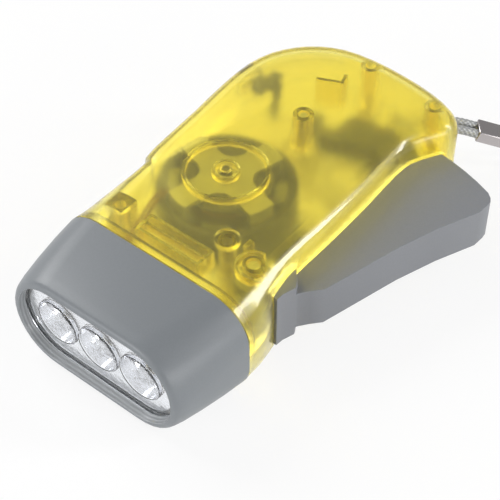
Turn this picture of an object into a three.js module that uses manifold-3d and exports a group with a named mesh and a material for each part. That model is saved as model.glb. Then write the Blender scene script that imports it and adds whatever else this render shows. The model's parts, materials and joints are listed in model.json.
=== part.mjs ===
// Squeeze dynamo flashlight: a three-LED torch whose hand lever drives a small generator.
// Millimetres, +Z up. The torch lies on its broad side, the beam points along -Y and the lever is on +X.
// The origin is on the underside, below the shaft of the generator.
import * as THREE from 'three';
import { mergeVertices } from 'three/addons/utils/BufferGeometryUtils.js';
import Module from 'manifold-3d';

const wasm = await Module();
wasm.setup();

// Clearances
const seatGap = 0.3;
const runningGap = 0.4;
const partingGap = 0.2;
const overrun = 3;

// Casing
const caseThickness = 26.2;
const caseWall = 2;
const caseEdge = 4.2;
const headEdge = 9.9;
const edgeBlend = 19;
const headJoint = 30.8;
const tailRoom = 8.2;
const waistShare = 0.884;
const waistGap = 0.55;
const hipReach = 5.2;

// Head
const headCentre = 6.4;
const jointHalfWidth = 25.9;
const frontHalfWidth = 23.4;
const frontHalfHeight = 11.9;
const rimRound = 1.1;
const rimInset = 1.7;
const lipInset = 2.5;
const lipDepth = 2.6;
const lensInset = 1.9;
const lensThickness = 1.5;
const bezelWall = 1.5;
const spigotWall = 1.6;
const spigotLength = 5;
const spigotRoot = 2.8;

// Lamps
const lampPitch = 11.7;
const cupRadius = 5.7;
const cupDepth = 6.8;
const reflectorWall = 0.8;
const ledRadius = 2.5;
const ledFlange = 2.9;
const ledFlangeThickness = 1;
const ledLength = 8;
const lampClearance = 0.7;
const boardThickness = 1.2;
const boardInset = 2.9;

// Squeeze lever
const pivotX = 22.9;
const pivotY = -18.5;
const leverThickness = 10.6;
const rootThickness = 14.8;
const rootReach = 9.3;
const barrelRadius = 4.4;
const leverBeyond = 7.2;
const leverWall = 1.8;
const armDrop = 4.1;
const armRise = 1.1;
const armDepth = 10.7;
const armToothAngle = 98;
const laneInset = 1.1;
const pinRadius = 1.3;
const pinSeat = 1.2;

// Return spring
const springWire = 0.8;
const springRadius = 3.9;
const springCurls = 6;
const springPitch = 1.3;
const springLegLength = 9;

// Gears
const toothModule = 0.8;
const pressureAngle = 25;
const sectorTeeth = 132;
const pinionTeeth = 10;
const wheelTeeth = 48;
const rotorTeeth = 16;
const toothPlay = 0.2;
const wheelBottom = 3;
const wheelThickness = 2.6;
const axleRadius = 1;

// Generator
const shaftRadius = 1;
const flywheelRadius = 16.1;
const flywheelWall = 0.8;
const flywheelDisc = 1.6;
const plateDrop = 1.7;
const rimDrop = 2;
const pawlDisc = 1.1;
const pawlDiscRadius = 7.4;
const pawlRadius = 9.2;
const ratchetDepth = 0.8;
const ratchetTeeth = 12;
const magnetThickness = 0.7;
const plateThickness = 0.8;
const airGap = 0.5;
const clawWidth = 6.4;
const clawDepth = 8;
const biteApex = 6;
const biteRadius = 3.9;
const crossTurn = -15;
const tabLength = 2.8;
const coreRadius = 2.6;
const bobbinRadius = 12.4;
const bobbinFlange = 0.8;
const leadRadius = 0.4;
const leadSpread = 0.6;
const leadRise = 1.2;
const rectifierLength = 5;
const rectifierHeight = 4;
const rectifierDepth = 2.2;
const rectifierChamfer = 0.5;

// Ribs and bosses of the casing
const ringRib = 9.5;
const hubRing = 2.8;
const ribThickness = 0.8;
const ribDepth = 4.5;
const bossRadius = 2.4;
const axleBossRadius = 2.5;
const screwBossRadius = 3.3;
const screwRadius = 1;
const screwHeadRadius = 2.2;
const screwHeadHeight = 1.6;
const screwSink = 1.1;
const screwLength = 14;
const postRadius = 2.1;
const postAcross = 9.1;
const postBehind = 2.4;
const postHeadRadius = 2.8;
const postHeadHeight = 1.4;
const blockAside = 11;
const blockBehind = 8.4;
const blockHalf = 2.5;
const trayLeft = 3.3;
const trayRight = 14.3;
const trayFront = 4.5;
const trayWidth = 5.4;
const fingerLength = 2.4;
const fingerThickness = 1.2;
const fingerAcross = 4.5;
const fingerBehind = 3.9;
const cornerAlong = 39;
const cornerAside = 0.8;
const cornerLong = 6.4;
const cornerShort = 3.4;

// Lock slider
const sliderTravel = 4;
const sliderX = -12.2;
const sliderY = 33;
const sliderDrop = 4;
const sliderPlate = 1.4;
const sliderNeck = 2.4;
const catchWidth = 1.5;
const thumbLength = 9;
const thumbHeight = 4.6;
const thumbDrop = 0.9;
const thumbRise = 1.6;

// Wrist strap
const cordDiameter = 2.3;
const cordSpread = 1.42;
const cordGap = 0.6;
const coilMiddle = 14;
const coilRounds = 2;
const crimpLength = 10;
const crimpWidth = 5.2;
const crimpHeight = 3.2;
const crimpWall = 0.7;
const strapPostRadius = 1;
const strapNotch = 3.6;
const strapExitX = 14.9;
const strapExitInset = 1.2;
const strapPostAlong = -4.4;
const strapPostAcross = -1.05;

const middle = caseThickness / 2;
const ceiling = caseThickness - caseWall;
const armBottom = middle - armDrop;
const armTop = middle + armRise;
const sliderTop = ceiling - sliderDrop;
const leftReach = (flywheelRadius + waistGap + caseWall) / waistShare;
const rightReach = pivotX + hipReach;
const clawRadius = flywheelRadius - flywheelWall - seatGap - magnetThickness - airGap;
const sectorRadius = sectorTeeth * toothModule / 2;
const leverLength = sectorRadius + leverBeyond;
const armRadius = sectorRadius + armDepth;
const tailReach = pivotY + armRadius + tailRoom;
const pivot = new THREE.Vector2(pivotX, pivotY);
const radians = THREE.MathUtils.degToRad;

// Solids and their booleans

function solid(geometry) {
  const bare = geometry.clone();
  bare.deleteAttribute('normal');
  bare.deleteAttribute('uv');
  const merged = mergeVertices(bare, 1e-4);
  const mesh = new wasm.Mesh({
    numProp: 3,
    vertProperties: new Float32Array(merged.attributes.position.array),
    triVerts: new Uint32Array(merged.index.array),
  });
  return new wasm.Manifold(mesh);
}

function join(first, ...others) {
  return others.reduce((body, other) => body.add(other), first);
}

function cut(first, ...others) {
  return others.reduce((body, other) => body.subtract(other), first);
}

function geometryOf(body) {
  const mesh = body.getMesh();
  const geometry = new THREE.BufferGeometry();
  const positions = new Float32Array(mesh.vertProperties.length / mesh.numProp * 3);
  for (let i = 0; i < positions.length / 3; i += 1) {
    for (let axis = 0; axis < 3; axis += 1) {
      positions[i * 3 + axis] = mesh.vertProperties[i * mesh.numProp + axis];
    }
  }
  geometry.setAttribute('position', new THREE.BufferAttribute(positions, 3));
  geometry.setIndex([...mesh.triVerts]);
  geometry.computeVertexNormals();
  return geometry;
}

// Rings of points stacked upwards, each counter-clockwise seen from above, with a lid at both ends.
function stack(rings) {
  const count = rings[0].length;
  const index = [];
  for (let level = 0; level < rings.length - 1; level += 1) {
    for (let i = 0; i < count; i += 1) {
      const low = level * count + i;
      const lowNext = level * count + (i + 1) % count;
      index.push(low, lowNext, lowNext + count, low, lowNext + count, low + count);
    }
  }
  const lid = (level, flip) => {
    const contour = rings[level].map((p) => new THREE.Vector2(p.x, p.y));
    for (const [a, b, c] of THREE.ShapeUtils.triangulateShape(contour, [])) {
      const corners = flip ? [a, c, b] : [a, b, c];
      index.push(...corners.map((corner) => level * count + corner));
    }
  };
  lid(0, true);
  lid(rings.length - 1, false);
  const geometry = new THREE.BufferGeometry();
  const corners = rings.flat().flatMap((p) => p.toArray());
  geometry.setAttribute('position', new THREE.Float32BufferAttribute(corners, 3));
  geometry.setIndex(index);
  return solid(geometry);
}

function slab(points, bottom, top) {
  const shape = new THREE.Shape(points);
  const geometry = new THREE.ExtrudeGeometry(shape, { depth: top - bottom, bevelEnabled: false, steps: 1 });
  geometry.translate(0, 0, bottom);
  return solid(geometry);
}

function disc(radius, bottom, top, x = 0, y = 0, sides = 20) {
  const geometry = new THREE.CylinderGeometry(radius, radius, top - bottom, sides);
  geometry.rotateX(Math.PI / 2);
  geometry.translate(x, y, (top + bottom) / 2);
  return solid(geometry);
}

// A hole that stands a seat gap clear of a round piece, also at its flats.
function hole(radius, bottom, top, x = 0, y = 0, sides = 16, gap = seatGap) {
  return disc((radius + gap) / Math.cos(Math.PI / sides), bottom, top, x, y, sides);
}

function tube(outer, inner, bottom, top, x = 0, y = 0, sides = 24) {
  const bore = disc(inner, bottom - overrun, top + overrun, x, y, sides);
  return cut(disc(outer, bottom, top, x, y, sides), bore);
}

function block(x0, x1, y0, y1, z0, z1) {
  const geometry = new THREE.BoxGeometry(x1 - x0, y1 - y0, z1 - z0);
  geometry.translate((x0 + x1) / 2, (y0 + y1) / 2, (z0 + z1) / 2);
  return solid(geometry);
}

// A profile of [radius, height] pairs turned about the vertical axis.
function turned(profile, sides = 24) {
  const points = profile.map(([radius, height]) => new THREE.Vector2(radius, height));
  const geometry = new THREE.LatheGeometry(points, sides);
  geometry.rotateX(Math.PI / 2);
  return solid(geometry);
}

// A round tube along points, unbroken, with flat ends.
function woundTube(points, radius, sides) {
  const tangents = points.map((p, i) => {
    const before = points[Math.max(i - 1, 0)];
    const after = points[Math.min(i + 1, points.length - 1)];
    return after.clone().sub(before).normalize();
  });
  const positions = [];
  let side = new THREE.Vector3(0, 0, 1).cross(tangents[0]).normalize();
  points.forEach((p, i) => {
    side = side.sub(tangents[i].clone().multiplyScalar(side.dot(tangents[i]))).normalize();
    const up = tangents[i].clone().cross(side);
    for (let k = 0; k < sides; k += 1) {
      const angle = 2 * Math.PI * (k + 0.5) / sides;
      const across = side.clone().multiplyScalar(radius * Math.cos(angle));
      const upwards = up.clone().multiplyScalar(radius * Math.sin(angle));
      positions.push(...p.clone().add(across).add(upwards).toArray());
    }
  });
  const index = [];
  for (let ring = 0; ring < points.length - 1; ring += 1) {
    for (let k = 0; k < sides; k += 1) {
      const low = ring * sides + k;
      const next = ring * sides + (k + 1) % sides;
      index.push(low, next, next + sides, low, next + sides, low + sides);
    }
  }
  const last = (points.length - 1) * sides;
  for (let k = 1; k < sides - 1; k += 1) {
    index.push(0, k + 1, k, last, last + k, last + k + 1);
  }
  const geometry = new THREE.BufferGeometry();
  geometry.setAttribute('position', new THREE.Float32BufferAttribute(positions, 3));
  geometry.setIndex(index);
  return solid(geometry);
}

// The least gap of a wound tube to itself, between points more than half a turn apart along it.
function leastGap(points, radius, apart) {
  let least = Infinity;
  for (let i = 0; i < points.length; i += 1) {
    for (let k = i + apart; k < points.length; k += 1) {
      least = Math.min(least, points[i].distanceTo(points[k]));
    }
  }
  return least - 2 * radius;
}

function polar(centre, radius, degrees) {
  const angle = radians(degrees);
  return new THREE.Vector2(centre.x + radius * Math.cos(angle), centre.y + radius * Math.sin(angle));
}

const group = new THREE.Group();

function add(name, body, colour, roughness, metalness = 0) {
  const geometry = body.isBufferGeometry ? body : geometryOf(body);
  const material = new THREE.MeshStandardMaterial({ color: colour, roughness, metalness });
  const mesh = new THREE.Mesh(geometry, material);
  mesh.name = name;
  group.add(mesh);
  return mesh;
}

// Outline of the casing on the parting plane, from the right of the head joint round the tail.
// Behind the hinge it follows the casing's own reaches: x as a share of the right or left reach, y
// of the tail reach or, before the shaft, of the joint.
const bodyShares = [
  [1, 0], [0.982, 0.301], [0.954, 0.526], [0.968, 0.63], [1.068, 0.739], [1.128, 0.808],
  [1.105, 0.87], [0.99, 0.927], [0.747, 0.971], [0.427, 0.995], [0.1, 1], [-0.255, 0.977],
  [-0.54, 0.92], [-0.758, 0.838], [-0.919, 0.73], [-0.993, 0.601], [-0.988, 0.432],
  [-0.93, 0.207], [-waistShare, -0.032], [-0.839, -0.247], [-0.785, -0.292],
];
// The shoulders before that: x as a share of the way out to the joint's half width, y of the joint.
const hingeShare = -0.617;
const hipShares = [0.13, -0.422];
const rightShoulderShares = [[1, -1], [0.75, -0.828]];
const leftShoulderShares = [[0.07, -0.552], [0.61, -0.795], [1, -1]];
const outlineSteps = 2;

function caseOutline() {
  const between = (from, to, [share, along]) => {
    return new THREE.Vector3(THREE.MathUtils.lerp(from, to, share), along * headJoint, 0);
  };
  const flank = bodyShares.map(([across, along]) => {
    const x = across * (across > 0 ? rightReach : leftReach);
    const y = along * (along > 0 ? tailReach : headJoint);
    return new THREE.Vector3(x, y, 0);
  });
  const hingeX = pivotX + springRadius + springWire / 2 + seatGap + caseWall;
  const points = [
    ...rightShoulderShares.map((place) => between(hingeX, headCentre + jointHalfWidth, place)),
    new THREE.Vector3(hingeX, hingeShare * headJoint, 0),
    between(rightReach, hingeX, hipShares),
    ...flank,
    ...leftShoulderShares.map((place) => between(flank.at(-1).x, headCentre - jointHalfWidth, place)),
  ];
  const curve = new THREE.CatmullRomCurve3(points, false, 'centripetal');
  return curve.getPoints((points.length - 1) * outlineSteps);
}

const outline = caseOutline();
const normalSteps = 4;
// The way inwards at each point, which turns straight to the side towards the head joint.
const outlineInward = outline.map((p, i) => {
  const before = outline[Math.max(i - normalSteps, 0)];
  const after = outline[Math.min(i + normalSteps, outline.length - 1)];
  const along = after.clone().sub(before).normalize();
  const settled = THREE.MathUtils.smoothstep(p.y, -headJoint, -headJoint + edgeBlend / 2);
  return new THREE.Vector3(-along.y, along.x * settled, 0).normalize();
});
outlineInward[0].set(-1, 0, 0);
outlineInward.at(-1).set(1, 0, 0);

// The edge radius grows from the body's to the head's along the last stretch before the head.
function edgeAt(y) {
  const share = THREE.MathUtils.smoothstep(-y, headJoint - edgeBlend, headJoint);
  return THREE.MathUtils.lerp(caseEdge, headEdge, share);
}

// One ring of the casing, inset by a wall, at a height above or below the middle.
function caseRing(height, inset, ahead) {
  const ring = outline.map((p, i) => {
    const edge = edgeAt(p.y) - inset;
    const over = Math.max(0, Math.abs(height) - (middle - inset - edge));
    const drawn = inset + edge - Math.sqrt(Math.max(0, edge * edge - over * over));
    const point = p.clone().add(outlineInward[i].clone().multiplyScalar(drawn));
    return new THREE.Vector3(point.x, point.y, middle + height);
  });
  ring[0].y -= ahead;
  ring.at(-1).y -= ahead;
  return ring;
}

const outerShares = [-1, -0.975, -0.91, -0.81, -0.66, -0.4, 0.4, 0.66, 0.81, 0.91, 0.975, 1];
const innerShares = [-1, -0.94, -0.78, -0.5, 0.5, 0.78, 0.94, 1];
const outerRings = outerShares.map((share) => caseRing(middle * share, 0, 0));
const innerRings = innerShares.map((share) => caseRing((middle - caseWall) * share, caseWall, overrun));
const caseOuter = stack(outerRings);
const caseShell = cut(caseOuter, stack(innerRings));

// Sections of the head: a rectangle with round corners, counter-clockwise seen from the front.
const cornerSteps = 8;
const fullRoundShare = 0.98;

function headSection(halfWidth, halfHeight, corner, forward) {
  const points = [];
  const radius = Math.min(corner, halfHeight * fullRoundShare);
  const corners = [[1, 1, 0], [-1, 1, 90], [-1, -1, 180], [1, -1, 270]];
  for (const [right, up, start] of corners) {
    for (let step = 0; step <= cornerSteps; step += 1) {
      const angle = radians(start + 90 * step / cornerSteps);
      const x = right * (halfWidth - radius) + radius * Math.cos(angle);
      const y = up * (halfHeight - radius) + radius * Math.sin(angle);
      points.push(new THREE.Vector3(x, y, forward));
    }
  }
  return points;
}

// Distances ahead of the joint, from the board through the lamps and the lens to the rim.
const boardBack = spigotLength + seatGap;
const boardFront = boardBack + boardThickness;
const lampBase = boardFront + seatGap;
const reflectorFront = lampBase + ledLength + lampClearance;
const lensBack = reflectorFront + seatGap;
const lensFront = lensBack + lensThickness;
const lipBack = lensFront + seatGap;
const headLength = lipBack + lipDepth;

// A section of the head at a distance ahead of the joint, inset from its skin.
function headRing(ahead, inset) {
  const share = ahead / headLength;
  const bow = THREE.MathUtils.lerp(share, share * share, 0.5);
  const halfWidth = THREE.MathUtils.lerp(jointHalfWidth, frontHalfWidth, bow);
  const halfHeight = THREE.MathUtils.lerp(middle, frontHalfHeight, bow);
  const corner = THREE.MathUtils.lerp(headEdge, frontHalfHeight, share);
  return headSection(halfWidth - inset, halfHeight - inset, corner - inset, headJoint + ahead);
}

// Turns what is stacked along the beam from its own upright into the torch.
function intoHead(body) {
  return body.rotate([90, 0, 0]).translate([headCentre, 0, middle]);
}

function headStack(levels) {
  return intoHead(stack(levels.map(([ahead, inset]) => headRing(ahead, inset))));
}

// A prism of one head section, with straight sides.
function headPrism(ahead, inset, back, front) {
  const ring = headRing(ahead, inset);
  const place = (forward) => ring.map((p) => new THREE.Vector3(p.x, p.y, headJoint + forward));
  return intoHead(stack([place(back), place(front)]));
}

const socketInset = bezelWall + seatGap;
const spigotInset = socketInset + seatGap;
const lampX = [-lampPitch, 0, lampPitch];

function makeBezel() {
  const skin = headStack([
    [seatGap, 0], [headLength * 0.3, 0], [headLength * 0.6, 0], [headLength - 3 * rimRound, 0],
    [headLength - rimRound, rimRound * 0.12], [headLength - rimRound * 0.3, rimRound * 0.45],
    [headLength, rimRound],
  ]);
  const mouth = intoHead(stack([
    headRing(lipBack - seatGap, lipInset),
    headRing(lipBack, lipInset),
    headRing(headLength, rimInset),
    headRing(headLength + overrun, rimInset),
  ]));
  const pocket = headPrism(lipBack, lensInset - seatGap, lampBase, lipBack);
  const socket = headPrism(spigotLength, socketInset, -overrun, lampBase);
  return cut(skin, mouth, pocket, socket);
}

function makeReflector() {
  const back = lampBase + seatGap;
  const frontInset = lensInset;
  const plate = headPrism(lipBack, frontInset, reflectorFront - reflectorWall, reflectorFront);
  const skirt = cut(
    headPrism(lipBack, frontInset, boardFront + seatGap, reflectorFront),
    headPrism(lipBack, frontInset + reflectorWall, back - overrun, reflectorFront + overrun),
  );
  const cupBack = reflectorFront - cupDepth;
  const neck = ledRadius + seatGap;
  const bowl = (radius, depth, mouthRadius) => [0, 0.15, 0.4, 0.7, 1].map((share) => {
    const bulge = Math.sqrt(share);
    return [THREE.MathUtils.lerp(radius, mouthRadius, bulge), depth * share];
  });
  const inner = turned([[0, 0], ...bowl(neck, cupDepth, cupRadius), [0, cupDepth]], 18);
  const outer = turned([
    [0, 0], ...bowl(neck + reflectorWall, cupDepth, cupRadius + reflectorWall), [0, cupDepth],
  ], 14);
  const lampHole = hole(ledRadius, -overrun, cupDepth, 0, 0, 18);
  const cups = lampX.map((x) => intoHead(outer.translate([x, 0, headJoint + cupBack])));
  const hollows = lampX.map((x) => intoHead(join(inner, lampHole).translate([x, 0, headJoint + cupBack])));
  const above = headPrism(lipBack, 0, reflectorFront, reflectorFront + overrun);
  return cut(join(plate, skirt, ...cups), ...hollows, above);
}

function makeLed(x) {
  const dome = [0, 30, 60, 90].map((degrees) => {
    const angle = radians(degrees);
    return [ledRadius * Math.cos(angle), ledLength - ledRadius + ledRadius * Math.sin(angle)];
  });
  const profile = [
    [0, 0], [ledFlange, 0], [ledFlange, ledFlangeThickness], [ledRadius, ledFlangeThickness], ...dome,
  ];
  profile.at(-1)[0] = 0;
  return intoHead(turned(profile, 16).translate([x, 0, headJoint + lampBase]));
}

// Gears

function involute(angle) {
  return Math.tan(angle) - angle;
}

// Half the angle that a tooth takes up at a radius, in radians.
function toothHalfAngle(teeth, radius, thinned) {
  const pitchRadius = teeth * toothModule / 2;
  const pressure = radians(pressureAngle);
  const base = pitchRadius * Math.cos(pressure);
  const here = Math.acos(Math.min(1, base / Math.max(radius, base)));
  return Math.PI / (2 * teeth) + involute(pressure) - involute(here) - thinned / (2 * pitchRadius);
}

const addendumShare = 0.85;
const sectorTipShare = 0.68;
const dedendumShare = 1.2;
const windowShare = 0.36;
const windowCount = 5;

// The outline of an outside gear with one tooth centred on a direction.
function gearOutline(teeth, direction) {
  const pitchRadius = teeth * toothModule / 2;
  const tip = pitchRadius + addendumShare * toothModule;
  const root = pitchRadius - dedendumShare * toothModule;
  const radii = [root, pitchRadius, tip];
  if (teeth <= rotorTeeth) {
    radii.splice(1, 0, (root + pitchRadius) / 2);
  }
  const points = [];
  for (let tooth = 0; tooth < teeth; tooth += 1) {
    const centre = radians(direction) + 2 * Math.PI * tooth / teeth;
    const flank = radii.map((radius) => [radius, toothHalfAngle(teeth, radius, toothPlay)]);
    const before = flank.map(([radius, half]) => [radius, centre - half]);
    const after = flank.toReversed().map(([radius, half]) => [radius, centre + half]);
    points.push(...before, ...after);
  }
  return points.map(([radius, angle]) => {
    return new THREE.Vector2(radius * Math.cos(angle), radius * Math.sin(angle));
  });
}

const pinionRadius = pinionTeeth * toothModule / 2;
const wheelRadius = wheelTeeth * toothModule / 2;
const rotorRadius = rotorTeeth * toothModule / 2;

// The gear axle lies where both pairs of gears mesh: inside the lever's arc and beside the shaft.
function findAxle() {
  const fromPivot = sectorRadius - pinionRadius;
  const fromShaft = wheelRadius + rotorRadius;
  const apart = pivot.length();
  const along = (fromShaft ** 2 - fromPivot ** 2 + apart ** 2) / (2 * apart);
  const across = Math.sqrt(fromShaft ** 2 - along ** 2);
  const unit = pivot.clone().normalize();
  return new THREE.Vector2(unit.x * along - unit.y * across, unit.y * along + unit.x * across);
}

const axle = findAxle();
const meshDirection = THREE.MathUtils.radToDeg(Math.atan2(axle.y - pivotY, axle.x - pivotX));
const shaftDirection = THREE.MathUtils.radToDeg(Math.atan2(-axle.y, -axle.x));
const wheelTop = wheelBottom + wheelThickness;

function makeDriveGear() {
  const wheel = slab(gearOutline(wheelTeeth, shaftDirection), wheelBottom, wheelTop);
  const pinion = slab(gearOutline(pinionTeeth, meshDirection), wheelBottom, armTop + partingGap);
  const hubRadius = pinionRadius + toothModule;
  const hub = disc(hubRadius, wheelBottom, armBottom - seatGap, 0, 0, 20);
  const rimRadius = wheelRadius - 3 * toothModule;
  const windowRadius = (rimRadius - hubRadius) * windowShare;
  const windows = [0.5, 1.5, 2.5, 3.5, 4.5].map((k) => {
    const place = polar(new THREE.Vector2(), (rimRadius + hubRadius) / 2, 360 / windowCount * k);
    return disc(windowRadius, -overrun, wheelTop + overrun, place.x, place.y, 12);
  });
  const bore = hole(axleRadius, -overrun, caseThickness, 0, 0, 14);
  return cut(join(wheel, pinion, hub), ...windows, bore).translate([axle.x, axle.y, 0]);
}

// The lever: a handle, a thicker root at the hinge and an arc arm with inside teeth.
const leverBottom = middle - leverThickness / 2;
const leverTop = middle + leverThickness / 2;
const rootBottom = middle - rootThickness / 2;
const rootTop = middle + rootThickness / 2;

// The handle's edge towards the casing, then its outer edge, as shares of the length of the
// lever: across from the pivot, along towards the tail.
const handleInnerShares = [[0.052, 0.155], [0.055, 0.4], [0.046, 0.62], [0.045, 0.86]];
const handleOuterShares = [
  [0.405, 0.906], [0.415, 0.89], [0.418, 0.867], [0.416, 0.815], [0.348, 0.652], [0.291, 0.48],
  [0.245, 0.297], [0.207, 0.145], [0.175, 0.108], [0.147, 0.07], [0.128, 0.01], [0.126, -0.023],
];

// The round tail between the two edges, in degrees about the pivot.
const leverTailStart = 83.5;
const leverTailEnd = 67.4;
// The hollow inside the handle, in the same shares.
const leverHollowShares = [[0.02, 0.24], [0.21, 0.25], [0.313, 0.582], [0.02, 0.582]];

function leverPoint([across, along]) {
  return new THREE.Vector2(pivotX + across * leverLength, pivotY + along * leverLength);
}

function leverOutline() {
  const inner = handleInnerShares.map(leverPoint);
  const outer = handleOuterShares.map(leverPoint);
  const tail = [0, 1, 2, 3, 4].map((k) => {
    return polar(pivot, leverLength, THREE.MathUtils.lerp(leverTailStart, leverTailEnd, k / 4));
  });
  const rootCorner = new THREE.Vector2(pivotX, outer.at(-1).y);
  return [rootCorner, pivot.clone(), ...inner, ...tail, ...outer].reverse();
}

// The arm between its toothed inner edge and its outer edge with the notch for the lock.
const armOuterShares = [
  [118.6, 0.9], [116.6, 0.902], [116.4, 0.96], [112.8, 0.962], [112.2, 0.902], [108.8, 0.902],
  [106.2, 1], [103, 1], [92.6, 0.975], [85.5, 0.9],
];

function armOutline() {
  const outer = armOuterShares.map(([degrees, share]) => polar(pivot, armRadius * share, degrees));
  const pitch = 360 / sectorTeeth;
  const tip = sectorRadius - sectorTipShare * toothModule;
  const root = sectorRadius + dedendumShare * toothModule;
  const spaces = Math.floor((meshDirection - armToothAngle) / pitch);
  const plainEnd = meshDirection - (spaces + 0.5) * pitch;
  const plainStart = armOuterShares.at(-1)[0];
  const inner = [0, 1, 2, 3, 4].map((k) => {
    return polar(pivot, root + seatGap, THREE.MathUtils.lerp(plainStart, plainEnd, k / 4));
  });
  for (let k = -spaces; k <= 0; k += 1) {
    const centre = meshDirection + k * pitch;
    const half = (radius) => THREE.MathUtils.radToDeg(toothHalfAngle(sectorTeeth, radius, -toothPlay));
    for (const radius of [tip, sectorRadius, root]) {
      inner.push(polar(pivot, radius, centre - half(radius)));
    }
    for (const radius of [root, sectorRadius, tip]) {
      inner.push(polar(pivot, radius, centre + half(radius)));
    }
  }
  const beyond = meshDirection + pitch;
  for (const radius of [tip, sectorRadius, root]) {
    const half = THREE.MathUtils.radToDeg(toothHalfAngle(sectorTeeth, radius, -toothPlay));
    inner.push(polar(pivot, radius, beyond - half));
  }
  return [...inner, ...outer];
}

// The spring's free leg runs from the curls past the tall post of the upper case.
const postPlace = new THREE.Vector2(pivotX - postAcross, pivotY + postBehind);

function springLegDirection() {
  const toPost = postPlace.clone().sub(pivot);
  const stand = postRadius + seatGap + springWire / 2;
  const past = Math.asin((springRadius - stand) / toPost.length());
  return THREE.MathUtils.radToDeg(Math.atan2(toPost.y, toPost.x) + past);
}

const freeLeg = springLegDirection();
const flankDirection = 42;
const springBottom = middle - springCurls * springPitch / 2;

function springPoints() {
  const steps = 8;
  const start = flankDirection + 90;
  const end = freeLeg - 90 + 360 * springCurls;
  const count = Math.round((end - start) / 360 * steps);
  const points = [];
  const leg = polar(pivot, springRadius, start);
  const legEnd = polar(leg, springLegLength, flankDirection);
  points.push(new THREE.Vector3(legEnd.x, legEnd.y, springBottom));
  for (let k = 0; k <= count; k += 1) {
    const degrees = THREE.MathUtils.lerp(start, end, k / count);
    const place = polar(pivot, springRadius, degrees);
    points.push(new THREE.Vector3(place.x, place.y, springBottom + springPitch * (degrees - start) / 360));
  }
  const top = points.at(-1);
  const free = polar(new THREE.Vector2(top.x, top.y), springLegLength, freeLeg);
  points.push(new THREE.Vector3(free.x, free.y, top.z));
  return points;
}

function makeLever() {
  const whole = leverOutline();
  const handle = slab(whole, leverBottom, leverTop);
  const root = join(
    slab(whole, rootBottom, rootTop).intersect(disc(rootReach, rootBottom, rootTop, pivotX, pivotY, 40)),
    disc(barrelRadius, rootBottom, rootTop, pivotX, pivotY, 28),
  );
  const arm = slab(armOutline(), armBottom, armTop);
  const bore = hole(pinRadius, 0, caseThickness, pivotX, pivotY);
  const springRoom = springCurls * springPitch / 2 + springWire;
  const roomInner = springRadius - springWire / 2 - 2 * seatGap;
  const roomOuter = springRadius + springWire / 2 + 2 * seatGap;
  const room = tube(roomOuter, roomInner, middle - springRoom, middle + springRoom, pivotX, pivotY);
  const grooveFloor = springRadius - springWire / 2 - seatGap;
  const groove = block(
    -overrun, springLegLength + overrun, grooveFloor, roomOuter + overrun,
    middle - springRoom, middle + springRoom,
  ).rotate([0, 0, flankDirection]).translate([pivotX, pivotY, 0]);
  const hollow = slab(leverHollowShares.map(leverPoint), leverBottom + leverWall, leverTop - leverWall);
  const bareCore = disc(roomInner, 0, caseThickness, pivotX, pivotY, 24);
  const body = cut(join(handle, root, arm), room, cut(groove, bareCore), hollow);
  return cut(body, bore);
}

// Generator
const discBottom = wheelTop + seatGap;
const discTop = discBottom + pawlDisc;
const flywheelBottom = discTop + seatGap;
const flywheelFloor = flywheelBottom + flywheelDisc;
const lowerPlateBottom = flywheelFloor + 2 * runningGap;
const upperPlateTop = ceiling - plateDrop;
const upperPlateBottom = upperPlateTop - plateThickness;
const flywheelTop = upperPlateBottom - rimDrop;
const pawlHubShare = 0.7;
const pawlRootShare = 0.6;
const pawlSweep = 84;
const pawlSteps = 6;

function makeClutchPinion() {
  const gear = slab(gearOutline(rotorTeeth, shaftDirection + 180 / rotorTeeth), wheelBottom, discBottom);
  const body = disc(pawlDiscRadius * pawlHubShare, discBottom, discTop, 0, 0, 24);
  const pawls = [0, 1, 2].map((k) => {
    const outer = [];
    const inner = [];
    for (let step = 0; step <= pawlSteps; step += 1) {
      const share = step / pawlSteps;
      const degrees = 120 * k + pawlSweep * share;
      const radius = THREE.MathUtils.lerp(pawlDiscRadius * pawlRootShare, pawlRadius, Math.sqrt(share));
      outer.push(polar(new THREE.Vector2(), radius, degrees));
      inner.push(polar(new THREE.Vector2(), radius - ribThickness, degrees + pawlSweep / 42));
    }
    return slab([...outer, ...inner.reverse()], discBottom, discTop);
  });
  const bore = hole(shaftRadius, -overrun, caseThickness, 0, 0, 14);
  return cut(join(gear, body, ...pawls), bore);
}

function makeFlywheel() {
  const profile = [
    [0, flywheelBottom], [flywheelRadius, flywheelBottom], [flywheelRadius, flywheelTop],
    [flywheelRadius - flywheelWall, flywheelTop], [flywheelRadius - flywheelWall, flywheelFloor],
    [0, flywheelFloor],
  ];
  const ratchet = [];
  const tooth = 360 / ratchetTeeth;
  const innerRadius = pawlRadius + runningGap;
  for (let k = 0; k < ratchetTeeth; k += 1) {
    ratchet.push(polar(new THREE.Vector2(), innerRadius, tooth * k));
    ratchet.push(polar(new THREE.Vector2(), innerRadius + ratchetDepth, tooth * (k + 0.9)));
  }
  const ringBottom = discBottom + seatGap / 2;
  const ring = disc(innerRadius + 2 * ratchetDepth, ringBottom, flywheelFloor, 0, 0, 32);
  const opening = slab(ratchet, ringBottom - overrun, flywheelBottom);
  const bore = hole(shaftRadius, -overrun, caseThickness, 0, 0, 14);
  return cut(join(turned(profile, 40), ring), opening, bore);
}

function crossArms(width, reach, bottom, top, turn) {
  const bar = block(-reach, reach, -width / 2, width / 2, bottom, top);
  const bars = [0, 1].map((k) => bar.rotate([0, 0, turn + 90 * k]));
  return join(...bars);
}

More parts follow.
